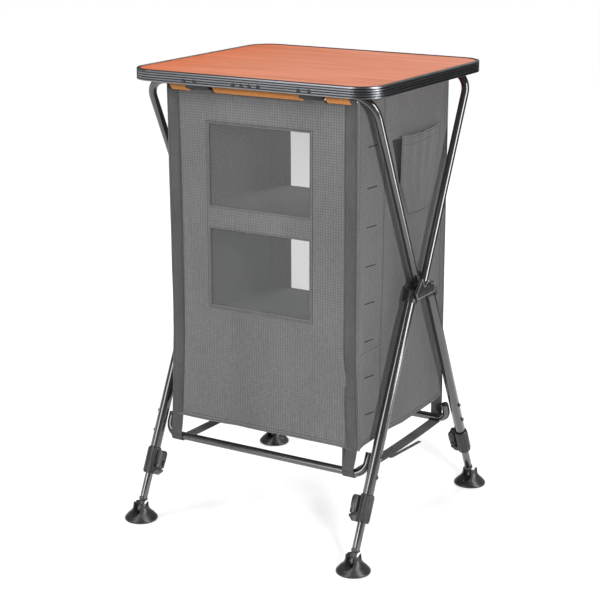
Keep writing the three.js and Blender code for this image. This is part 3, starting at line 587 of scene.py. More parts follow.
pin_radius, pin_reach = 0.004, plate_far + 0.0003
pin_head = [(0, pin_reach), (0.0056, pin_reach), (0.0058, pin_reach + 0.0008), (0.0052, pin_reach + 0.0017),
            (0.0036, pin_reach + 0.0023), (0.0028, pin_reach + 0.0021), (0.0024, pin_reach + 0.0012),
            (0, pin_reach + 0.001)]
for side, sign in sides:
    shape = bmesh.new()
    for turn in (-1, 1):
        lathe(shape, pin_head, 28, facing((0, 0, 0), (turn, 0, 0)))
    lathe(shape, [(0, -pin_reach), (pin_radius, -pin_reach), (pin_radius, pin_reach), (0, pin_reach)], 24,
          facing((0, 0, 0), (1, 0, 0)))
    place = members["front_arm"] @ Matrix.Translation((sign * frame_x, 0, 0))
    cover(f"hub_pin_{side}", "rivet", shape, black_steel, "front_arm", place)

# Leg clamps. A ribbed nylon collar on the end of each outer leg, with an ear and a lever that turns on
# a cross screw. Pressed up against the leg, the lever closes the collar on the sliding inner leg.
clamp_top, clamp_bottom = -0.432, -0.488
clamp_bore, clamp_wall, clamp_throat = 0.0113, 0.0134, 0.0084
rib_ring = 0.0119
pin_x, pin_z = -0.0205, -0.468
block_half, ear_half, cheek_gap = 0.009, 0.0035, 0.0005
lever_top, lever_waist, lever_round = -0.436, -0.4565, 0.006
grip_low, grip_pitch = -0.4535, 0.0042


def clamp_shape():
    shape = bmesh.new()
    step = clamp_bottom + 0.006
    lathe(shape, [(clamp_bore, clamp_bottom), (0.0125, clamp_bottom), (clamp_wall, clamp_bottom + 0.001),
                  (clamp_wall, clamp_top - 0.0012), (0.0126, clamp_top), (clamp_bore, clamp_top),
                  (clamp_bore, step), (clamp_throat, step), (clamp_throat, clamp_bottom),
                  (clamp_bore, clamp_bottom)], 48)
    for turn in range(-120, 150, 30):
        x, y = rib_ring * math.cos(math.radians(turn)), rib_ring * math.sin(math.radians(turn))
        rib = [(0, clamp_bottom + 0.002), (0.0018, clamp_bottom + 0.0025), (0.0026, clamp_bottom + 0.005),
               (0.0026, clamp_top - 0.005), (0.0018, clamp_top - 0.0025), (0, clamp_top - 0.002)]
        lathe(shape, rib, 14, Matrix.Translation((x, y, 0)))
    ear = [(-0.010, -0.476), (-0.0264, -0.476), (-0.0264, -0.4700)]
    ear += arc(pin_x, pin_z, 0.0058, -170, -270, 8) + [(-0.010, pin_z + 0.0058)]
    plate(shape, ear, 2 * ear_half, 0.0005, along_y(-ear_half))
    block = [(-0.008, -0.4755), (-0.0265, -0.4755), (-0.0275, -0.4765), (-0.0270, -0.4795)]
    block += [(-0.0190, -0.4875), (-0.0180, clamp_bottom), (-0.008, clamp_bottom)]
    plate(shape, block, 2 * block_half, 0.0008, along_y(-block_half))
    return shape


def lever_shape():
    shape = bmesh.new()
    outline = [(-0.0142, pin_z - 0.001), (-0.0142, lever_top - 0.0006), (-0.0150, lever_top)]
    outline += arc(-0.0215, lever_top - lever_round, lever_round, 90, 180, 8)
    outline += [(-0.0275, lever_waist), (-0.0269, -0.4600), (-0.0269, -0.4708), (-0.0255, -0.4732)]
    outline += arc(pin_x, pin_z, 0.0057, 250, 350, 7)
    cheek = block_half - ear_half - cheek_gap
    for y in (-block_half, ear_half + cheek_gap):
        plate(shape, outline, cheek, 0.0007, along_y(y))
    web = [(-0.0160, lever_top - 0.0002)] + arc(-0.0215, lever_top - 0.0062, 0.0058, 90, 180, 8)
    web += [(-0.0272, lever_waist), (-0.0245, lever_waist), (-0.0245, lever_top - 0.003)]
    web += [(-0.0160, lever_top - 0.003)]
    plate(shape, web, 2 * ear_half + 0.003, 0, along_y(-ear_half - 0.0015))
    for i in range(3):
        grip = grip_low + i * grip_pitch
        ridge = [(-0.0279, grip), (-0.0279, grip + 0.0016), (-0.0268, grip + 0.0022),
                 (-0.0268, grip - 0.0006)]
        plate(shape, ridge, 2 * block_half - 0.004, 0, along_y(-block_half + 0.002))
    return shape


screw_head = [(0, 0), (0.0042, 0), (0.0044, 0.0006), (0.0038, 0.0015), (0.0024, 0.0018), (0.0022, 0.0009),
              (0, 0.0009)]
screw_radius = 0.0024
for corner, (body, own_side, side_x, side_y) in legs.items():
    place = members[body] @ at_side(own_side * frame_x, own_side > 0) @ Matrix.Translation((0, leg_y, 0))
    cover(f"leg_clamp_{corner}", "collar", clamp_shape(), nylon, body, place, 30)
    screw = bmesh.new()
    for turn in (-1, 1):
        end = (pin_x, turn * (block_half + 0.0002), pin_z)
        lathe(screw, screw_head, 24, facing(end, (0, turn, 0)))
    shank = [(0, -block_half), (screw_radius, -block_half), (screw_radius, block_half), (0, block_half)]
    lathe(screw, shank, 16, facing((pin_x, 0, pin_z), (0, 1, 0)))
    make_piece(f"clamp_screw_{corner}", screw, black_steel, body, place)
    cover(f"clamp_lever_{corner}", "grip", lever_shape(), nylon, f"lever_{corner}", place)

# Inner legs and ball plugs. A 16 mm steel tube in a dark glossy paint slides in each outer leg. Its end
# is closed by a nylon plug whose ball snaps into the foot.
ball_radius, ball_height, plug_neck = 0.0095, 0.023, 0.0046
ball_z = -(hub_z + leg_y * level.y - ball_height) / level.z
inner_top, inner_foot = -0.331, 0.0252

inner_paint, inner_shader = start_finish("inner_leg_paint", 0.2, 0.95)
mottled(inner_paint, inner_shader, grain(inner_paint, (1, 1, 0.05), 160, 3),
        (0.15, 0.15, 0.155), (0.22, 0.22, 0.225), (0.15, 0.19))
ball_nylon, ball_shader = start_finish("polished_nylon", 0.14)
mottled(ball_nylon, ball_shader, grain(ball_nylon, (1, 1, 1), 60, 2), (0.05, 0.05, 0.052),
        (0.08, 0.08, 0.083))

neck_angle = math.degrees(math.asin(plug_neck / ball_radius))
plug_profile = [(0, -ball_radius)] + arc(0, 0, ball_radius, -86, 90 - neck_angle, 18)
plug_profile += [(0.0048, 0.0150), (0.0062, 0.0168), (0.0084, 0.0180), (0.0092, 0.0196), (0.0092, 0.0222),
                 (0.0086, 0.0237), (0.0065, 0.0237), (0.0065, 0.036), (0, 0.036)]
for corner, (body, own_side, side_x, side_y) in legs.items():
    leg_x = own_side * frame_x
    shape = bmesh.new()
    tube(shape, [((leg_x, leg_y, ball_z + inner_foot),), ((leg_x, leg_y, inner_top),)], small_tube)
    cover(f"inner_leg_{corner}", "tube", shape, inner_paint, f"leg_{corner}", members[body])
    plug = bmesh.new()
    lathe(plug, plug_profile, 32)
    place = members[body] @ Matrix.Translation((leg_x, leg_y, ball_z))
    cover(f"leg_ball_{corner}", "plug", plug, ball_nylon, f"leg_{corner}", place)

# Feet. A wide nylon bell on each leg, with a hollowed flare and a collar split into two cheeks. They
# spring over the ball on the leg, and the open slots let the foot stand flat whatever the leg's lean.
slot_half, slot_bottom = 0.0088, 0.0125
nick_half, nick_bottom = 0.0026, 0.029
foot_y, foot_high, socket_radius = 0.26513, 0.036, 0.0099
cut_top, cut_reach = 0.04, 0.04
foot_profile = [(0, 0), (0.0318, 0), (0.0340, 0.0008), (0.0345, 0.0020), (0.0345, 0.0036), (0.0339, 0.0052),
                (0.0326, 0.0068), (0.0308, 0.0084), (0.0282, 0.0119), (0.0250, 0.0145), (0.0222, 0.0172),
                (0.0200, 0.0198), (0.0184, 0.0222), (0.0174, 0.0245), (0.0166, 0.0272), (0.0160, 0.0305),
                (0.0158, 0.0330), (0.0156, 0.0352)]
foot_profile += [(0.0150, foot_high), (0.0134, foot_high), (0.0128, 0.0354)]
foot_profile += [(r, ball_height + z) for r, z in arc(0, 0, socket_radius, 52, -88, 12)]
foot_profile += [(0, ball_height - socket_radius)]


def cut_away(target, cutters):
    for cutter in cutters:
        mesh = bpy.data.meshes.new("cutter")
        bmesh.ops.recalc_face_normals(cutter, faces=cutter.faces)
        cutter.to_mesh(mesh)
        cutter.free()
        tool = bpy.data.objects.new("cutter", mesh)
        bpy.context.scene.collection.objects.link(tool)
        modifier = target.modifiers.new("cut", "BOOLEAN")
        modifier.object = tool
        modifier.solver = "EXACT"
        bpy.context.view_layer.update()
        result = bpy.data.meshes.new_from_object(target.evaluated_get(bpy.context.evaluated_depsgraph_get()))
        target.modifiers.clear()
        target.data = result
        bpy.data.objects.remove(tool)
        bpy.data.meshes.remove(mesh)
    for polygon in target.data.polygons:
        polygon.use_smooth = True
    target.data.set_sharp_from_angle(angle=math.radians(32))


def slot_cutter(half, low, place):
    cutter = bmesh.new()
    outline = [(half, cut_top), (-half, cut_top)] + arc(0, low + half, half, 180, 360, 12)
    plate(cutter, outline, 2 * cut_reach, 0, place)
    return cutter


for corner, (body, own_side, side_x, side_y) in legs.items():
    bell = bmesh.new()
    lathe(bell, foot_profile, 72)
    place = Matrix.Translation((side_x * frame_x, side_y * foot_y, 0))
    made = make_piece(f"foot_{corner}_bell", bell, nylon, f"foot_{corner}", place)
    cut_away(made, [slot_cutter(slot_half, slot_bottom, place @ along_y(-cut_reach)),
                    slot_cutter(nick_half, nick_bottom, place @ along_x(-cut_reach))])
    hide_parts(f"foot_{corner}")

# Bag front. One piece of grey ribbed polyester hung from the front bar by its sleeves, with a frame
# of the same cloth stitched round two clear windows. It hangs in shallow waves and puckers at the hem.
bag_half, bag_top, bag_bottom = 0.215, 0.904, 0.224
bag_high = bag_top - bag_bottom
front_y, back_y = -0.202, 0.185
cloth_thick = 0.0014
windows = ((0.675, 0.839), (0.472, 0.630))
window_half = 0.112
frame_half, frame_low, frame_high = 0.1195, 0.465, 0.8455
frame_raise, frame_step = 0.0008, 0.0004
pucker_x, pucker_z = 0.186, 0.37
calm_half, calm_low, calm_high = 0.13, 0.45, 0.86
steady_half = 0.118


def weave(finish, shader, dark, light, pitch_across, pitch_up, depth, patch=7.0):
    axes = own_axes(finish)
    ribs = []
    for source, pitch in ((worked(finish, "ADD", axes["X"], axes["Y"]), pitch_across), (axes["Z"], pitch_up)):
        wave = worked(finish, "SINE", worked(finish, "MULTIPLY", source, math.tau / pitch))
        ribs.append(worked(finish, "ABSOLUTE", wave))
    cell = worked(finish, "MULTIPLY", *ribs)
    worn = grain(finish, (1, 1, 0.35), patch, 5)
    yarn = grain(finish, (1, 1, 0.2), 420, 2)
    colour = shades(finish, worn, (0.3, dark), (0.7, light))
    colour = tinted(finish, colour, shades(finish, cell, (0.0, (0.70,) * 3), (0.6, (1.06,) * 3)))
    colour = tinted(finish, colour, shades(finish, yarn, (0.3, (0.86,) * 3), (0.7, (1.08,) * 3)))
    wire(finish, colour, shader.inputs["Base Color"])
    wire(finish, spread(finish, worn, 0.75, 0.95), shader.inputs["Roughness"])
    embossed(finish, shader, worked(finish, "ADD", cell, yarn), depth, 0.7)
    shader.inputs["Sheen Weight"].default_value = 0.15
    shader.inputs["Sheen Roughness"].default_value = 0.5
    shader.inputs["Specular IOR Level"].default_value = 0.25


canvas, canvas_shader = start_finish("ribbed_canvas", 0.85)
weave(canvas, canvas_shader, (0.134, 0.134, 0.136), (0.172, 0.172, 0.174), 0.0112, 0.0104, 0.0003)
thread, thread_shader = start_finish("dark_thread", 0.7)
mottled(thread, thread_shader, grain(thread, (1, 1, 1), 900, 2), (0.018, 0.018, 0.019), (0.045, 0.045, 0.047))


def ripple(a, b, seed, size):
    return size * noise.noise(Vector((a, b, seed)))


def share(value):
    return max(0, min(1, value))


# The loaded bag hangs a little askew, so that its corners stand off their straight lines by this much.
def corner_sway(side, z):
    drop, knee = (bag_top - z) / bag_high, 0.74
    upper, lower = min(1, drop / knee), max(0, (drop - knee) / (1 - knee))
    if side < 0:
        return 0.0077 + 0.0043 * upper - 0.008 * lower
    return 0.006 + 0.002 * upper + 0.006 * lower


def sway(x, z):
    inner = 0.0036 + 0.0024 * max(-1, min(1, x / steady_half))
    outside = max(0, (abs(x) - steady_half) / (bag_half - steady_half))
    return inner + (corner_sway(x, z) - inner) * min(1, outside)


def fading(y):
    return 0.3 + 0.7 * (back_y - y) / (back_y - front_y)


def front_wave(x, z):
    drop = (bag_top - z) / bag_high
    edge = min(1, (bag_half - abs(x)) / 0.03)
    broad = 0.0022 * math.sin(11 * x + 2.2 * z + 0.6) * (0.35 + 0.65 * drop)
    broad += ripple(9 * x, 3 * z, 1.7, 0.0035)
    fine = ripple(42 * x, 7 * z, 5.1, 0.0010) * (0.3 + drop)
    pulled = math.exp(-((x - pucker_x) / 0.02) ** 2 - ((z - pucker_z) / 0.06) ** 2)
    pucker = 0.0022 * math.sin(150 * x + 40 * z) * pulled
    hem = ripple(26 * x, 2, 9.3, 0.0026) * max(0, 1 - (z - bag_bottom) / 0.09)
    calm = 0.45 if abs(x) < calm_half and calm_low < z < calm_high else 1
    return max(-0.004, min(0.0008, (broad + fine) * edge * calm + pucker + hem * edge - 0.0012))


def spaced(start, end, step, extra=()):
    count = max(1, round((end - start) / step))
    values = [start + (end - start) * i / count for i in range(count + 1)]
    for value in extra:
        values = [v for v in values if abs(v - value) > step * 0.3] + [value]
    return sorted(values)


def cloth(shape, across, up, surface, thickness, skip=None):
    skins = []
    for depth in (0, thickness):
        skins.append([[shape.verts.new(surface(u, v, depth)) for u in across] for v in up])
    wide, high = len(across) - 1, len(up) - 1
    next_cells = (((0, -1), (0, 1)), ((1, 0), (1, 2)), ((0, 1), (2, 3)), ((-1, 0), (3, 0)))

    def kept(i, j):
        if not (0 <= i < wide and 0 <= j < high):
            return False
        return not (skip and skip((across[i] + across[i + 1]) / 2, (up[j] + up[j + 1]) / 2))

    for j in range(high):
        for i in range(wide):
            if not kept(i, j):
                continue
            loops = ((j, i), (j, i + 1), (j + 1, i + 1), (j + 1, i))
            shape.faces.new([skins[0][a][b] for a, b in loops])
            shape.faces.new([skins[1][a][b] for a, b in loops][::-1])
            for (di, dj), (p, q) in next_cells:
                if not kept(i + di, j + dj):
                    (a, b), (c, d) = loops[p], loops[q]
                    shape.faces.new((skins[0][a][b], skins[1][a][b], skins[1][c][d], skins[0][c][d]))
    bmesh.ops.delete(shape, geom=[v for v in shape.verts if not v.link_faces], context="VERTS")


def in_any_window(x, z):
    return abs(x) < window_half and any(low < z < high for low, high in windows)


def front_surface(x, z, depth):
    raised = frame_raise if abs(x) < frame_half and frame_low < z < frame_high and not depth else 0
    droop = 0.006 * share((-x - 0.12) / 0.09) * max(0, 1 - (bag_top - z) / 0.08)
    return Vector((x + sway(x, z), front_y + front_wave(x, z) - raised + depth, z - droop))


def both_sides(*lines):
    return [line + step for line in lines for step in (-frame_step, frame_step)]


window_edges = sorted(z for window in windows for z in window)
front_x = spaced(-bag_half, bag_half, 0.0052,
                 [-window_half, window_half, *both_sides(-frame_half, frame_half)])
front_z = spaced(bag_bottom, bag_top, 0.0058, [*window_edges, *both_sides(frame_low, frame_high)])
shape = bmesh.new()
cloth(shape, front_x, front_z, front_surface, cloth_thick, in_any_window)
bag_front = make_piece("front_panel", shape, canvas, "root", crease=60)
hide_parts("bag_front")


# Stitching is black thread, one stitch every 3.4 mm, and sits in the cloth that it holds.
def stitches(shape, line, surface, outward, pitch=0.0034, width=0.0004):
    long = [(b - a).length for a, b in zip(line, line[1:])]
    total = sum(long)
    count = max(1, round(total / pitch))
    for k in range(count):
        walk = (k + 0.5) * total / count
        i = 0
        while i < len(long) - 1 and walk > long[i]:
            walk -= long[i]
            i += 1
        heading = (line[i + 1] - line[i]).normalized()
        centre = surface(line[i] + heading * walk)
        across = heading.cross(outward).normalized() * width
        half = heading * pitch * 0.36
        foot = [centre - half - across, centre - half + across,
                centre + half + across, centre + half - across]
        low = [shape.verts.new(p - outward * 0.0003) for p in foot]
        high = [shape.verts.new(p.lerp(centre, 0.25) + outward * width) for p in foot]
        shape.faces.new(low[::-1])
        shape.faces.new(high)
        skin(shape, [low, high])


def as_drawn(point):
    return point


def on_front(point):
    return front_surface(point.x, point.z, 0)


def box_line(half, low, high):
    ends = ((-half, low), (half, low), (half, high), (-half, high), (-half, low))
    return [Vector((x, 0, z)) for x, z in ends]


frame_seam, seam_reach = (0.1182, 0.4664, 0.8440), 0.0022
hem_rows, row_half, edge_row_x = (0.2275, 0.2335), 0.213, 0.2095
sewn = bmesh.new()
outward_front = Vector((0, -1, 0))
stitches(sewn, box_line(*frame_seam), on_front, outward_front)
for low, high in windows:
    stitches(sewn, box_line(window_half + seam_reach, low - seam_reach, high + seam_reach), on_front,
             outward_front)
for z in (bag_top - 0.007, *hem_rows):
    stitches(sewn, [Vector((-row_half, 0, z)), Vector((row_half, 0, z))], on_front, outward_front)
for x in (-edge_row_x, edge_row_x):
    stitches(sewn, [Vector((x, 0, bag_bottom)), Vector((x, 0, bag_top))], on_front, outward_front)
make_piece("front_stitching", sewn, thread, "root")

# Window film. One sheet of clear vinyl behind both windows, slightly cloudy and not quite flat. It is
# stitched in with the frame and shows a grey haze over the dark inside of the bag.
film_half, film_low, film_high, film_thick = 0.117, 0.467, 0.844, 0.0004

film, film_shader = start_finish("clear_vinyl", 0.06)
film_haze = grain(film, (1, 1, 1), 8, 3)
film_shader.inputs["Base Color"].default_value = (0.165, 0.168, 0.17, 1)
film_shader.inputs["Specular IOR Level"].default_value = 0.2
wire(film, spread(film, film_haze, 0.03, 0.06), film_shader.inputs["Roughness"])
wire(film, spread(film, film_haze, 0.30, 0.36), film_shader.inputs["Alpha"])
embossed(film, film_shader, film_haze, 0.0001)


def film_surface(x, z, depth):
    return Vector((x + sway(x, z), front_y + front_wave(x, z) + cloth_thick + film_thick + depth, z))


shape = bmesh.new()
cloth(shape, spaced(-film_half, film_half, 0.008), spaced(film_low, film_high, 0.008), film_surface,
      film_thick)
window_film = make_piece("window_vinyl", shape, film, "root", crease=60)
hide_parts("window_film")

# Bag sides. The same cloth, sewn to the front along a corded corner seam, with a long vertical seam
# and a row of short tacks that hold the shelves' edges.
upper_shelf_z, lower_shelf_z = 0.643, 0.411
side_y = (-0.1993, 0.1823)
tack_heights = (0.816, 0.737, 0.661, 0.584, 0.510, 0.434, 0.361, 0.286)
tack_front, tack_back, tack_slope, tack_lift = -0.165, -0.127, 0.005, 0.0006
tack_pitch, tack_width = 0.0016, 0.0006
long_rows, row_front, row_back = (-0.1935, -0.100, -0.0965, 0.168), -0.197, 0.166


def side_wave(y, z):
    drop = (bag_top - z) / bag_high
    edge = min(1, (y - front_y) / 0.03, (back_y - y) / 0.03)
    broad = 0.003 * math.sin(13 * y + 3 * z) * (0.3 + drop) + ripple(8 * y, 3.5 * z, 3.3, 0.005)
    drag = 0.0022 * math.sin(60 * (y + z)) * math.exp(-((y - 0.03) / 0.07) ** 2 - ((z - 0.86) / 0.05) ** 2)
    pulls = [math.exp(-((z - shelf_z) / 0.012) ** 2) for shelf_z in (upper_shelf_z, lower_shelf_z)]
    hem = ripple(22 * y, 4, 6.4, 0.003) * max(0, 1 - (z - bag_bottom) / 0.08)
    return max(-0.0045, min(0.0028, (broad + drag + hem) * max(0, edge) - 0.0015 * sum(pulls))) - 0.0006


def corded_seam(name, line, radius, body):
    shape = bmesh.new()
    sweep(shape, along(line, (0, 1, 0)), disc(radius, 12))
    make_piece(name, shape, canvas, body)


for side, sign in sides:
    def side_surface(y, z, depth):
        x = sign * (bag_half + side_wave(y, z) - depth) + corner_sway(sign, z) * fading(y)
        rise = 0.003 * min(1, (y - side_y[0]) / 0.02) * max(0, 1 - (bag_top - z) / 0.06)
        return Vector((x, y, z + rise))

    def on_side(point):
        return side_surface(point.y, point.z, 0)

    shape = bmesh.new()
    cloth(shape, spaced(*side_y, 0.0058), spaced(bag_bottom, bag_top, 0.0065), side_surface, cloth_thick)
    panel = make_piece(f"side_panel_{side}", shape, canvas, "root", crease=60)
    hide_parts(f"bag_side_{side}")
    outward = Vector((sign, 0, 0))
    sewn = bmesh.new()
    for y in long_rows:
        stitches(sewn, [Vector((0, y, bag_bottom)), Vector((0, y, bag_top))], on_side, outward)
    for z in (bag_top - 0.006, *hem_rows):
        stitches(sewn, [Vector((0, row_front, z)), Vector((0, row_back, z))], on_side, outward)
    for z in tack_heights:
        tilt = tack_slope * (bag_top - z) / bag_high
        for lift in (-tack_lift, tack_lift):
            tack = [Vector((0, tack_front, z + lift)), Vector((0, tack_back, z + lift - tilt))]
            stitches(sewn, tack, on_side, outward, tack_pitch, tack_width)
    side_thread = make_piece(f"side_stitching_{side}", sewn, thread, "root")
    seam = [Vector((sign * (bag_half + 0.0004 + ripple(0, 9 * z, 2.2, 0.0012)) + corner_sway(sign, z),
                    front_y + 0.0006 + ripple(3, 9 * z, 4.2, 0.0012), z))
            for z in spaced(bag_bottom, bag_top + 0.0045, 0.012)]
    corded_seam(f"corner_seam_{side}", seam, 0.0019, "root")
    for made in (panel, side_thread):
        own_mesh(made)

# Bag floor and shelves. Stiff boards in sleeves of the same cloth, a little sunk at the middle. The
# floor is sewn in and both shelves hang in the bag, held by the tacks in its sides.
board_half, board_y, board_thick = 0.2113, (-0.1955, 0.1823), 0.0036
boards = (
    ("bag_bottom", 0.229, 0.003),
    ("shelf_lower", lower_shelf_z, 0.0016),
    ("shelf_upper", upper_shelf_z, 0.0016),
)
for node, top, sag in boards:
    def board_surface(x, y, depth):
        middle = max(0, math.cos(math.pi * x / 0.43) * math.cos(math.pi * y / 0.39))
        swell = ripple(11 * x, 11 * y, top * 10, 0.0016)
        return Vector((x + sway(x, top) * fading(y), y, top - 0.0006 - depth - (sag - swell) * middle))

    shape = bmesh.new()
    cloth(shape, spaced(-board_half, board_half, 0.011), spaced(*board_y, 0.011), board_surface, board_thick)
    made = cover(node, "board", shape, canvas, "root", crease=50)
    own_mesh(made)

# Back strips. Narrow strips of cloth beside the open back, bound along the opening with tape in a
# reddish brown. They are sewn to the sides along a corded seam and carry the rolled-up door.
strip_wide = 0.046
strip_inner = bag_half - strip_wide
tape_half, tape_thick = 0.008, 0.0014
tape_section = [(-tape_thick, -tape_half), (tape_thick, -tape_half), (tape_thick, tape_half),
                (-tape_thick, tape_half)]
strip_stitch_x = strip_inner + 0.0062

tape, tape_shader = start_finish("brown_tape", 0.75)
weave(tape, tape_shader, (0.22, 0.08, 0.072), (0.30, 0.11, 0.10), 0.002, 0.003, 0.0002)

for side, sign in sides:
    def strip_surface(across, z, depth):
        wave = ripple(14 * across, 5 * z, 8.8, 0.002)
        return Vector((sign * across + corner_sway(sign, z) * fading(back_y),
                       back_y - 0.0008 + min(0, wave) - depth, z))

    shape = bmesh.new()
    cloth(shape, spaced(strip_inner, bag_half, 0.0046), spaced(bag_bottom, bag_top, 0.0067), strip_surface,
          cloth_thick)
    strip = make_piece(f"back_strip_{side}", shape, canvas, "bag_back", crease=60)
    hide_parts(f"bag_back_{side}")
    binding = bmesh.new()
    edge = [strip_surface(strip_inner, z, cloth_thick / 2) for z in spaced(bag_bottom, bag_top, 0.0067)]
    sweep(binding, along(edge, (0, 1, 0)), tape_section)
    make_piece(f"back_binding_{side}", binding, tape, "bag_back")
    sewn = bmesh.new()
    line = [Vector((strip_stitch_x, 0, bag_bottom)), Vector((strip_stitch_x, 0, bag_top))]
    stitches(sewn, line, lambda point: strip_surface(point.x, point.z, 0), Vector((0, 1, 0)))
    make_piece(f"back_stitching_{side}", sewn, thread, "bag_back")
    seam = [Vector((sign * (bag_half - 0.0004) + corner_sway(sign, z) * fading(back_y),
                    back_y - 0.0014 + ripple(5, 9 * z, 7.2, 0.001), z))
            for z in spaced(bag_bottom, bag_top, 0.012)]
    corded_seam(f"back_corner_seam_{side}", seam, 0.0017, "bag_back")

# Door roll. The back door is cloth, rolled up under the back bar between the strips and a little
# flattened. Three webbing ties hold it, each with a knot and two loose tails.
roll_half = strip_inner - 0.001
roll_y, roll_z = back_y + 0.002 + 0.017, 0.870
roll_turns, roll_steps = 3.4, 84
roll_core, roll_outer, roll_limit, roll_skin, roll_tall = 0.0045, 0.0163, 0.0168, 0.0016, 1.22
tie_places = (-0.11, 0, 0.11)
tie_steps, tie_wide, tie_tall = 36, 0.0166, 0.0208
band_section = [(-0.005, -0.0005), (0.005, -0.0005), (0.005, 0.0005), (-0.005, 0.0005)]
tail_section = [(-0.004, -0.0004), (0.004, -0.0004), (0.004, 0.0004), (-0.004, 0.0004)]
knot = [(0, -0.0045), (0.0035, -0.004), (0.0048, -0.0015), (0.0048, 0.0015), (0.0035, 0.004), (0, 0.0045)]


def roll_section(x):
    outer, inner = [], []
    for i in range(roll_steps + 1):
        turn = roll_turns * 2 * math.pi * i / roll_steps
        radius = roll_core + (roll_outer - roll_core) * i / roll_steps
        slack = 1 + 0.05 * noise.noise(Vector((7 * x, math.cos(turn), math.sin(turn))))
        radius = min(radius * slack, roll_limit)
        for line, reach in ((outer, radius), (inner, radius - roll_skin)):
            line.append((reach * math.sin(turn), reach * roll_tall * math.cos(turn)))
    return outer + inner[::-1]


def close_ends(shape, rings):
    for end in (rings[0], rings[-1]):
        for i in range(len(end) // 2 - 1):
            shape.faces.new((end[i], end[i + 1], end[-i - 2], end[-i - 1]))


shape = bmesh.new()
rings = []
for x in spaced(-roll_half, roll_half, 0.008):
    pinch = 1 - 0.09 * sum(math.exp(-((x - tie) / 0.009) ** 2) for tie in tie_places)
    rings.append([shape.verts.new((x, roll_y + y * pinch, roll_z + z * pinch)) for y, z in roll_section(x)])
skin(shape, rings)
close_ends(shape, rings)
roll = make_piece("door_roll_cloth", shape, canvas, "bag_back", crease=60)
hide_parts("door_roll")

webbing, webbing_shader = start_finish("strap_webbing", 0.8)
weave(webbing, webbing_shader, (0.075, 0.075, 0.077), (0.105, 0.105, 0.107), 0.0018, 0.0036, 0.00025, 20)
across_roll = Vector((1, 0, 0))
for tie_index, tie_x in enumerate(tie_places):
    tie = bmesh.new()
    angles = [2 * math.pi * i / tie_steps for i in range(tie_steps)]
    line = [Vector((tie_x, roll_y + tie_wide * math.sin(a), roll_z + tie_tall * math.cos(a)))
            for a in angles]
    stations = []
    for i, point in enumerate(line):
        heading = (line[(i + 1) % tie_steps] - line[i - 1]).normalized()
        stations.append((point, across_roll, heading.cross(across_roll).normalized(), 1))
    sweep(tie, stations, band_section, True)
    for aside, reach in ((-0.005, 0.052), (0.006, 0.046)):
        tail = bent_line([((tie_x, roll_y + 0.0176, roll_z - 0.004),),
                          ((tie_x + aside * 0.5, roll_y + 0.019, roll_z - 0.02), 0.02),
                          ((tie_x + aside, roll_y + 0.0165, roll_z - reach),)], 6)
        sweep(tie, along(tail, across_roll), tail_section)
    lathe(tie, knot, 14, facing((tie_x, roll_y + 0.0178, roll_z - 0.002), across_roll))
    make_piece(f"door_tie_{tie_index}", tie, webbing, "bag_back")

# Bar sleeves. Orange cloth folded over the top bars and sewn to the bag's top edge. The front one is in
# three parts with gaps for the clips, the back one is short; both show under the rail.
bar_axis_y, bar_axis_z = 0.204, 0.917
sleeve_inside, sleeve_outside, sleeve_neck = 0.0086, 0.0104, 0.905
sleeve_wrap, sleeve_steps = 285, 22

hem_cloth, hem_shader = start_finish("orange_cloth", 0.8)
weave(hem_cloth, hem_shader, (0.52, 0.215, 0.065), (0.66, 0.285, 0.09), 0.0022, 0.0022, 0.00012)


def round_bar(radius):
    angles = [math.radians(sleeve_wrap * i / sleeve_steps) for i in range(sleeve_steps + 1)]
    return [(-bar_axis_y - radius * math.cos(a), bar_axis_z + radius * math.sin(a)) for a in angles]


def bar_sleeve(start, end, sign, seed):
    shape = bmesh.new()
    slant = 0.012 if sign > 0 else 0
    flap_y, flap_z = -bar_axis_y - sleeve_outside + 0.0002, bag_top - 0.003
    outer = [(flap_y, flap_z), (-bar_axis_y - sleeve_outside + 0.0001, sleeve_neck)]
    inner = [(flap_y + 0.0016, flap_z), (-bar_axis_y - sleeve_inside, sleeve_neck)]
    outer += round_bar(sleeve_outside)
    inner += round_bar(sleeve_inside)
    rings = []
    for x in spaced(start, end, 0.007):
        shifts = [min(0, ripple(60 * x, seed, 3.3, 0.0016) * share((0.912 - z) / 0.02)) for y, z in outer]
        loop = [(y + shift, z) for (y, z), shift in zip(outer, shifts)]
        loop += [(y + shift, z) for (y, z), shift in zip(inner, shifts)][::-1]
        rings.append([shape.verts.new((x * sign + slant * share((0.914 - z) / 0.012), y * sign, z))
                      for y, z in loop])
    skin(shape, rings)
    close_ends(shape, rings)
    return shape


sleeve_rows = (
    ("front_sleeve_left", -0.200, -0.158, 1, "root"),
    ("front_sleeve_middle", -0.100, 0.0985, 1, "root"),
    ("front_sleeve_right", 0.1510, 0.200, 1, "root"),
    ("back_sleeve", -0.097, 0.097, -1, "back_arm"),
)
for index, (node, start, end, sign, body) in enumerate(sleeve_rows):
    made = cover(node, "cloth", bar_sleeve(start, end, sign, index), hem_cloth, body, crease=50)

# Side pocket. An outside pocket on the right, wider at its hemmed mouth than at its curved bottom. The
# mouth stands open in front, where a near-black gusset lets it spread.
pocket_top, pocket_neck, pocket_low = 0.818, 0.726, 0.652
pocket_edge, pocket_back_low = -0.037, 0.106
pocket_taper, pocket_widening = 0.041, 0.042
gusset_drop, gusset_spread = 0.004, 0.035

# The gusset's cloth is near-black.
gusset, gusset_shader = start_finish("near_black_gusset_cloth", 0.9)
weave(gusset, gusset_shader, (0.008, 0.008, 0.008), (0.016, 0.016, 0.017), 0.002, 0.002, 0.0003)


def pocket_front(z):
    return pocket_edge + max(0, pocket_neck - z) / (pocket_neck - pocket_low) * pocket_taper


def pocket_back(z):
    return pocket_back_low + (z - pocket_low) / (pocket_top - pocket_low) * pocket_widening


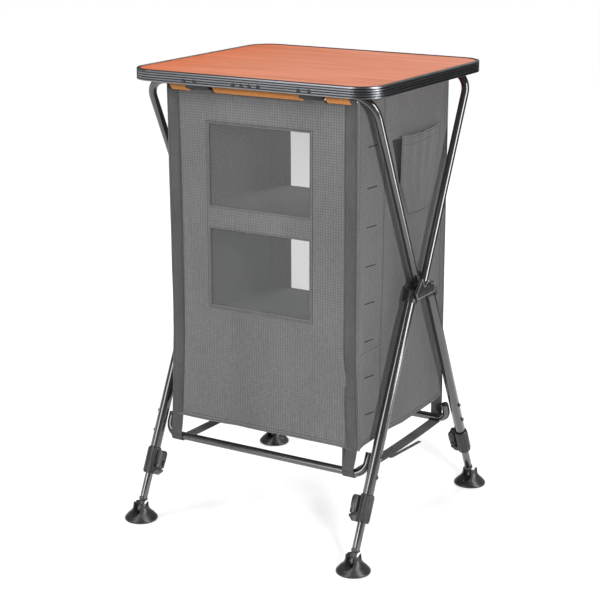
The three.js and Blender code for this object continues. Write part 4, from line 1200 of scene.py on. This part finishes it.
def pocket_surface(s, t, depth):
    sag = 0.004 * math.sin(math.pi * s) * (1 - t)
    z = pocket_low + (pocket_top - pocket_low) * t - sag - 0.006 * t * math.sin(math.pi * s) * (1 - s)
    z = max(z, pocket_low + 0.0005)
    y = pocket_front(z) + (pocket_back(z) - pocket_front(z)) * s
    swell = 0.0098 * t ** 0.55 * max(0, math.sin(math.pi * (0.2 + 0.8 * s))) ** 0.6
    crease = 0.0018 * math.sin(26 * s + 2 * t) * t * math.sin(math.pi * s) + ripple(5 * s, 3 * t, 2.9, 0.0012)
    x = bag_half + 0.0008 + max(0, min(0.0108, swell + crease)) - depth
    return Vector((max(x, bag_half + 0.0002 - depth) + corner_sway(1, z) * fading(y), y, z))


def gusset_surface(s, t, depth):
    z = pocket_neck + (pocket_top - gusset_drop - pocket_neck) * t
    far = pocket_surface(0, (z - pocket_low) / (pocket_top - pocket_low), 0)
    y = pocket_edge - gusset_spread * t * (1 - s)
    near_x = bag_half + 0.0012 + corner_sway(1, z) * fading(y)
    return Vector((near_x + (far.x - near_x) * s ** 2 - depth, y, z))


shape = bmesh.new()
cloth(shape, spaced(0, 1, 0.03), spaced(0, 1, 0.04, (0.93,)), pocket_surface, cloth_thick)
pocket = make_piece("side_pocket_cloth", shape, canvas, "root", crease=60)
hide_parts("side_pocket")
shape = bmesh.new()
cloth(shape, spaced(0, 1, 0.12), spaced(0, 1, 0.08), gusset_surface, 0.0008)
pocket_gusset = make_piece("pocket_gusset", shape, gusset, "root", crease=60)
pocket_seams = [[(s, t) for s in spaced(0.02, 0.98, 0.04)] for t in (0.975, 0.895)]
pocket_seams += [[(s, t) for t in spaced(0.02, 0.98, 0.05)] for s in (0.02, 0.985)]
pocket_seams += [[(s, 0.03) for s in spaced(0.02, 0.98, 0.04)]]
sewn = bmesh.new()
for seam in pocket_seams:
    stitches(sewn, [pocket_surface(s, t, 0) for s, t in seam], as_drawn, Vector((1, 0, 0)))
pocket_thread = make_piece("pocket_stitching", sewn, thread, "root")
for made in (pocket, pocket_gusset, pocket_thread):
    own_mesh(made)

# Straps. 25 mm webbing runs down both front corners, round the lower bars and up both back corners,
# and holds the bag down. It is stitched to the cloth, and the run under the bag rides on the lower straps.
strap_x, strap_half, strap_thick = 0.201, 0.0125, 0.0008
strap_section = [(-strap_half, -strap_thick), (strap_half, -strap_thick), (strap_half, strap_thick),
                 (-strap_half, strap_thick)]
strap_low, strap_hem = 0.176, 0.232
wrap, wrap_sag, wrap_top, wrap_bend = 0.0093, 0.004, 0.2235, 8
front_turn = ((-0.2022, 0.222), (-0.2002, 0.208), (-0.1988, 0.196), (-0.1982, 0.184), (-0.1980, strap_low))
back_turn = ((0.188, 0.224), (0.192, 0.210), (0.1962, 0.196), (0.1976, 0.184), (0.198, strap_low))
buckle = [(-0.0155, -0.006), (0.0155, -0.006), (0.0155, 0.006), (-0.0155, 0.006)]
tail_front, tail_back, tail_z, tail_slope = -0.034, 0.098, 0.1520, 0.06
back_strap_y, strap_row_low = 0.1866, 0.236
strap_row_x, strap_row_pitch = 0.0108, 0.0036
bar_tack_rows, bar_tack_half, bar_tack_out = (0.33, 0.334), 0.0115, 0.0017


def webbing_strip(line):
    shape = bmesh.new()
    sweep(shape, along(line, (1, 0, 0)), strap_section)
    return shape


def under_bag(x):
    turned = bar_world_y + wrap
    line = bent_line([((x, -turned, wrap_top),), ((x, -turned, bar_world_z - wrap), wrap),
                      ((x, turned, bar_world_z - wrap), wrap), ((x, turned, wrap_top),)], wrap_bend)
    full = []
    for a, b in zip(line, line[1:]):
        full += [a.lerp(b, k / 12) for k in range(12)] if (b - a).length > 0.05 else [a]
    full.append(line[-1])
    for point in full:
        if abs(point.y) < bar_world_y and point.z < bar_world_z:
            point.z -= wrap_sag * (1 - (point.y / bar_world_y) ** 2)
    return full


for side, sign, x in (("left", -1, -0.2075), ("right", 1, 0.2015)):
    seat = sign * strap_x
    front_line = [Vector((seat + corner_sway(sign, z), front_y + front_wave(seat, z) - 0.0009, z))
                  for z in spaced(strap_hem, bag_top + 0.0052, 0.009)][::-1]
    hem_x = front_line[-1].x
    front_line += [Vector((x + (hem_x - x) * (z - strap_low) / (strap_hem - strap_low), y, z))
                   for y, z in front_turn]
    front_strap = make_piece(f"front_strap_{side}", webbing_strip(front_line), webbing, None)
    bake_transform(front_strap)

    shape = webbing_strip(under_bag(x))
    if side == "right":
        tail = [Vector((x + 0.0105, y, tail_z - tail_slope * (y - tail_front)))
                for y in spaced(tail_front, tail_back, 0.012)]
        sweep(shape, along(tail, (1, 0, 0)), [(0.3 * a, b) for a, b in strap_section])
        plate(shape, buckle, 0.0035, 0.0008, Matrix.Translation((x, -0.036, 0.1535)))
    bottom = cover(f"bottom_strap_{side}", "webbing", shape, webbing, "lower_straps")
    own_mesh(bottom)

    back_line = [Vector((x, back_strap_y, z)) for z in spaced(strap_row_low, bag_top, 0.02)][::-1]
    back_line += [Vector((x, y, z)) for y, z in back_turn]
    back_strap = cover(f"back_strap_{side}", "webbing", webbing_strip(back_line), webbing, None)
    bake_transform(back_strap)

    sewn = bmesh.new()
    for offset in (-strap_row_x, strap_row_x):
        row = [Vector((p.x + offset, p.y - strap_thick, p.z)) for p in front_line if p.z > strap_row_low]
        stitches(sewn, row, as_drawn, outward_front, strap_row_pitch)
    for z in bar_tack_rows:
        middle_x, face_y = seat + corner_sway(sign, z), front_y + front_wave(seat, z) - bar_tack_out
        bar_tack = [Vector((middle_x + reach, face_y, z)) for reach in (-bar_tack_half, bar_tack_half)]
        stitches(sewn, bar_tack, as_drawn, outward_front)
    make_piece(f"strap_stitching_{side}", sewn, thread, "root")

# Floor, lights and camera. A pale floor under a plain white surround, a small key light on the right in
# front, which throws the tubes' shadows on the bag, a wide one on the left and one behind. Two bright
# bands of the surround and a lit patch of floor are seen by reflections alone.
floor_shape = bmesh.new()
bmesh.ops.create_grid(floor_shape, x_segments=1, y_segments=1, size=30)
floor_mesh = bpy.data.meshes.new("studio_floor")
floor_shape.to_mesh(floor_mesh)
floor_shape.free()
floor = bpy.data.objects.new("studio_floor", floor_mesh)
bpy.context.scene.collection.objects.link(floor)
floor.location.z = -0.0005

pale, pale_shader = start_finish("pale_floor", 0.9)
pale_shader.inputs["Specular IOR Level"].default_value = 0
pale_shader.inputs["Emission Color"].default_value = (1, 1, 1, 1)
rays = add(pale, "ShaderNodeLightPath").outputs
wire(pale, shades(pale, rays["Is Glossy Ray"], (0, (0.5,) * 3), (1, (0.12,) * 3)),
     pale_shader.inputs["Base Color"])
away = add(pale, "ShaderNodeVectorMath", {0: own_place(pale)}, operation="LENGTH").outputs["Value"]
spot = own_axes(pale)
beside_patch = worked(pale, "ABSOLUTE", worked(pale, "SUBTRACT", spot["Y"], 0.35))
patch = worked(pale, "MULTIPLY", spread(pale, beside_patch, 8.0, 0, 0.3, 0.45),
               spread(pale, spot["X"], 0, 1, 1.2, 1.7))
shade = worked(pale, "MULTIPLY", spread(pale, away, 0, 1, 1.0, 1.4),
               spread(pale, spot["X"], 0, 1, -0.9, -0.5))
lit = worked(pale, "MULTIPLY", spread(pale, spot["Y"], 0.95, 0.16, 0.9, 1.8), spread(pale, shade, 1, 0.17))
seen = worked(pale, "MULTIPLY", rays["Is Camera Ray"], spread(pale, away, 0.66, 0.9, 0.5, 3.0))
glow = worked(pale, "MULTIPLY_ADD", rays["Is Glossy Ray"], worked(pale, "ADD", lit, patch), seen)
wire(pale, glow, pale_shader.inputs["Emission Strength"])
floor_mesh.materials.append(pale)

surround = bpy.data.worlds.new("studio")
bpy.context.scene.world = surround
surround.use_nodes = True
background = surround.node_tree.nodes["Background"]
background.inputs["Color"].default_value = (1, 1, 1, 1)
rays = add(surround, "ShaderNodeLightPath").outputs
heading = add(surround, "ShaderNodeTexCoord").outputs["Generated"]
heading_y = add(surround, "ShaderNodeSeparateXYZ", {"Vector": heading}).outputs["Y"]
flat_heading = add(surround, "ShaderNodeVectorMath", {0: heading, 1: (1, 1, 0)}, operation="MULTIPLY")
compass = add(surround, "ShaderNodeVectorMath", {0: flat_heading.outputs[0]}, operation="NORMALIZE")
mirrored = spread(surround, heading_y, 0.2, 0.25, 0.35, 0.8)
for direction, strength in (((-0.267, -0.964, 0), 4.2), ((0.999, -0.035, 0), 8.0)):
    toward = add(surround, "ShaderNodeVectorMath", {0: compass.outputs[0], 1: direction},
                 operation="DOT_PRODUCT")
    band = add(surround, "ShaderNodeMapRange", {
        "Value": toward.outputs["Value"], "From Min": 0.962, "From Max": 0.985, "To Max": strength,
    }, interpolation_type="SMOOTHSTEP")
    mirrored = worked(surround, "ADD", mirrored, band.outputs["Result"])
direct = worked(surround, "MAXIMUM", rays["Is Camera Ray"], rays["Is Transmission Ray"])
around = spread(surround, rays["Is Glossy Ray"], 0.19, mirrored)
wire(surround, spread(surround, direct, around, 1.0), background.inputs["Strength"])


def soft_light(name, place, size, power, mirrored_in_gloss):
    data = bpy.data.lights.new(name, "AREA")
    data.shape = "RECTANGLE"
    data.size, data.size_y = size, size
    data.energy = power
    lamp = bpy.data.objects.new(name, data)
    bpy.context.scene.collection.objects.link(lamp)
    lamp.location = place
    lamp.visible_glossy = mirrored_in_gloss
    lamp.rotation_euler = (Vector((0, 0, 0.5)) - Vector(place)).to_track_quat("-Z", "Y").to_euler()


soft_light("key_light", (2.26, -2.08, 1.42), 0.35, 84, False)
soft_light("left_light", (-1.8, -2.2, 2.4), 1.2, 76, False)
soft_light("back_light", (0.4, 2.6, 2.8), 1.6, 66, True)

camera_data = bpy.data.cameras.new("photo_camera")
camera_data.sensor_width = 36
camera_data.lens = 97.25
camera = bpy.data.objects.new("photo_camera", camera_data)
bpy.context.scene.collection.objects.link(camera)
camera.location = (1.6471, -2.8003, 1.3593)
camera.rotation_euler = (math.radians(74.33), 0, math.radians(30.84))
bpy.context.scene.camera = camera
bpy.context.scene.view_settings.view_transform = "Standard"
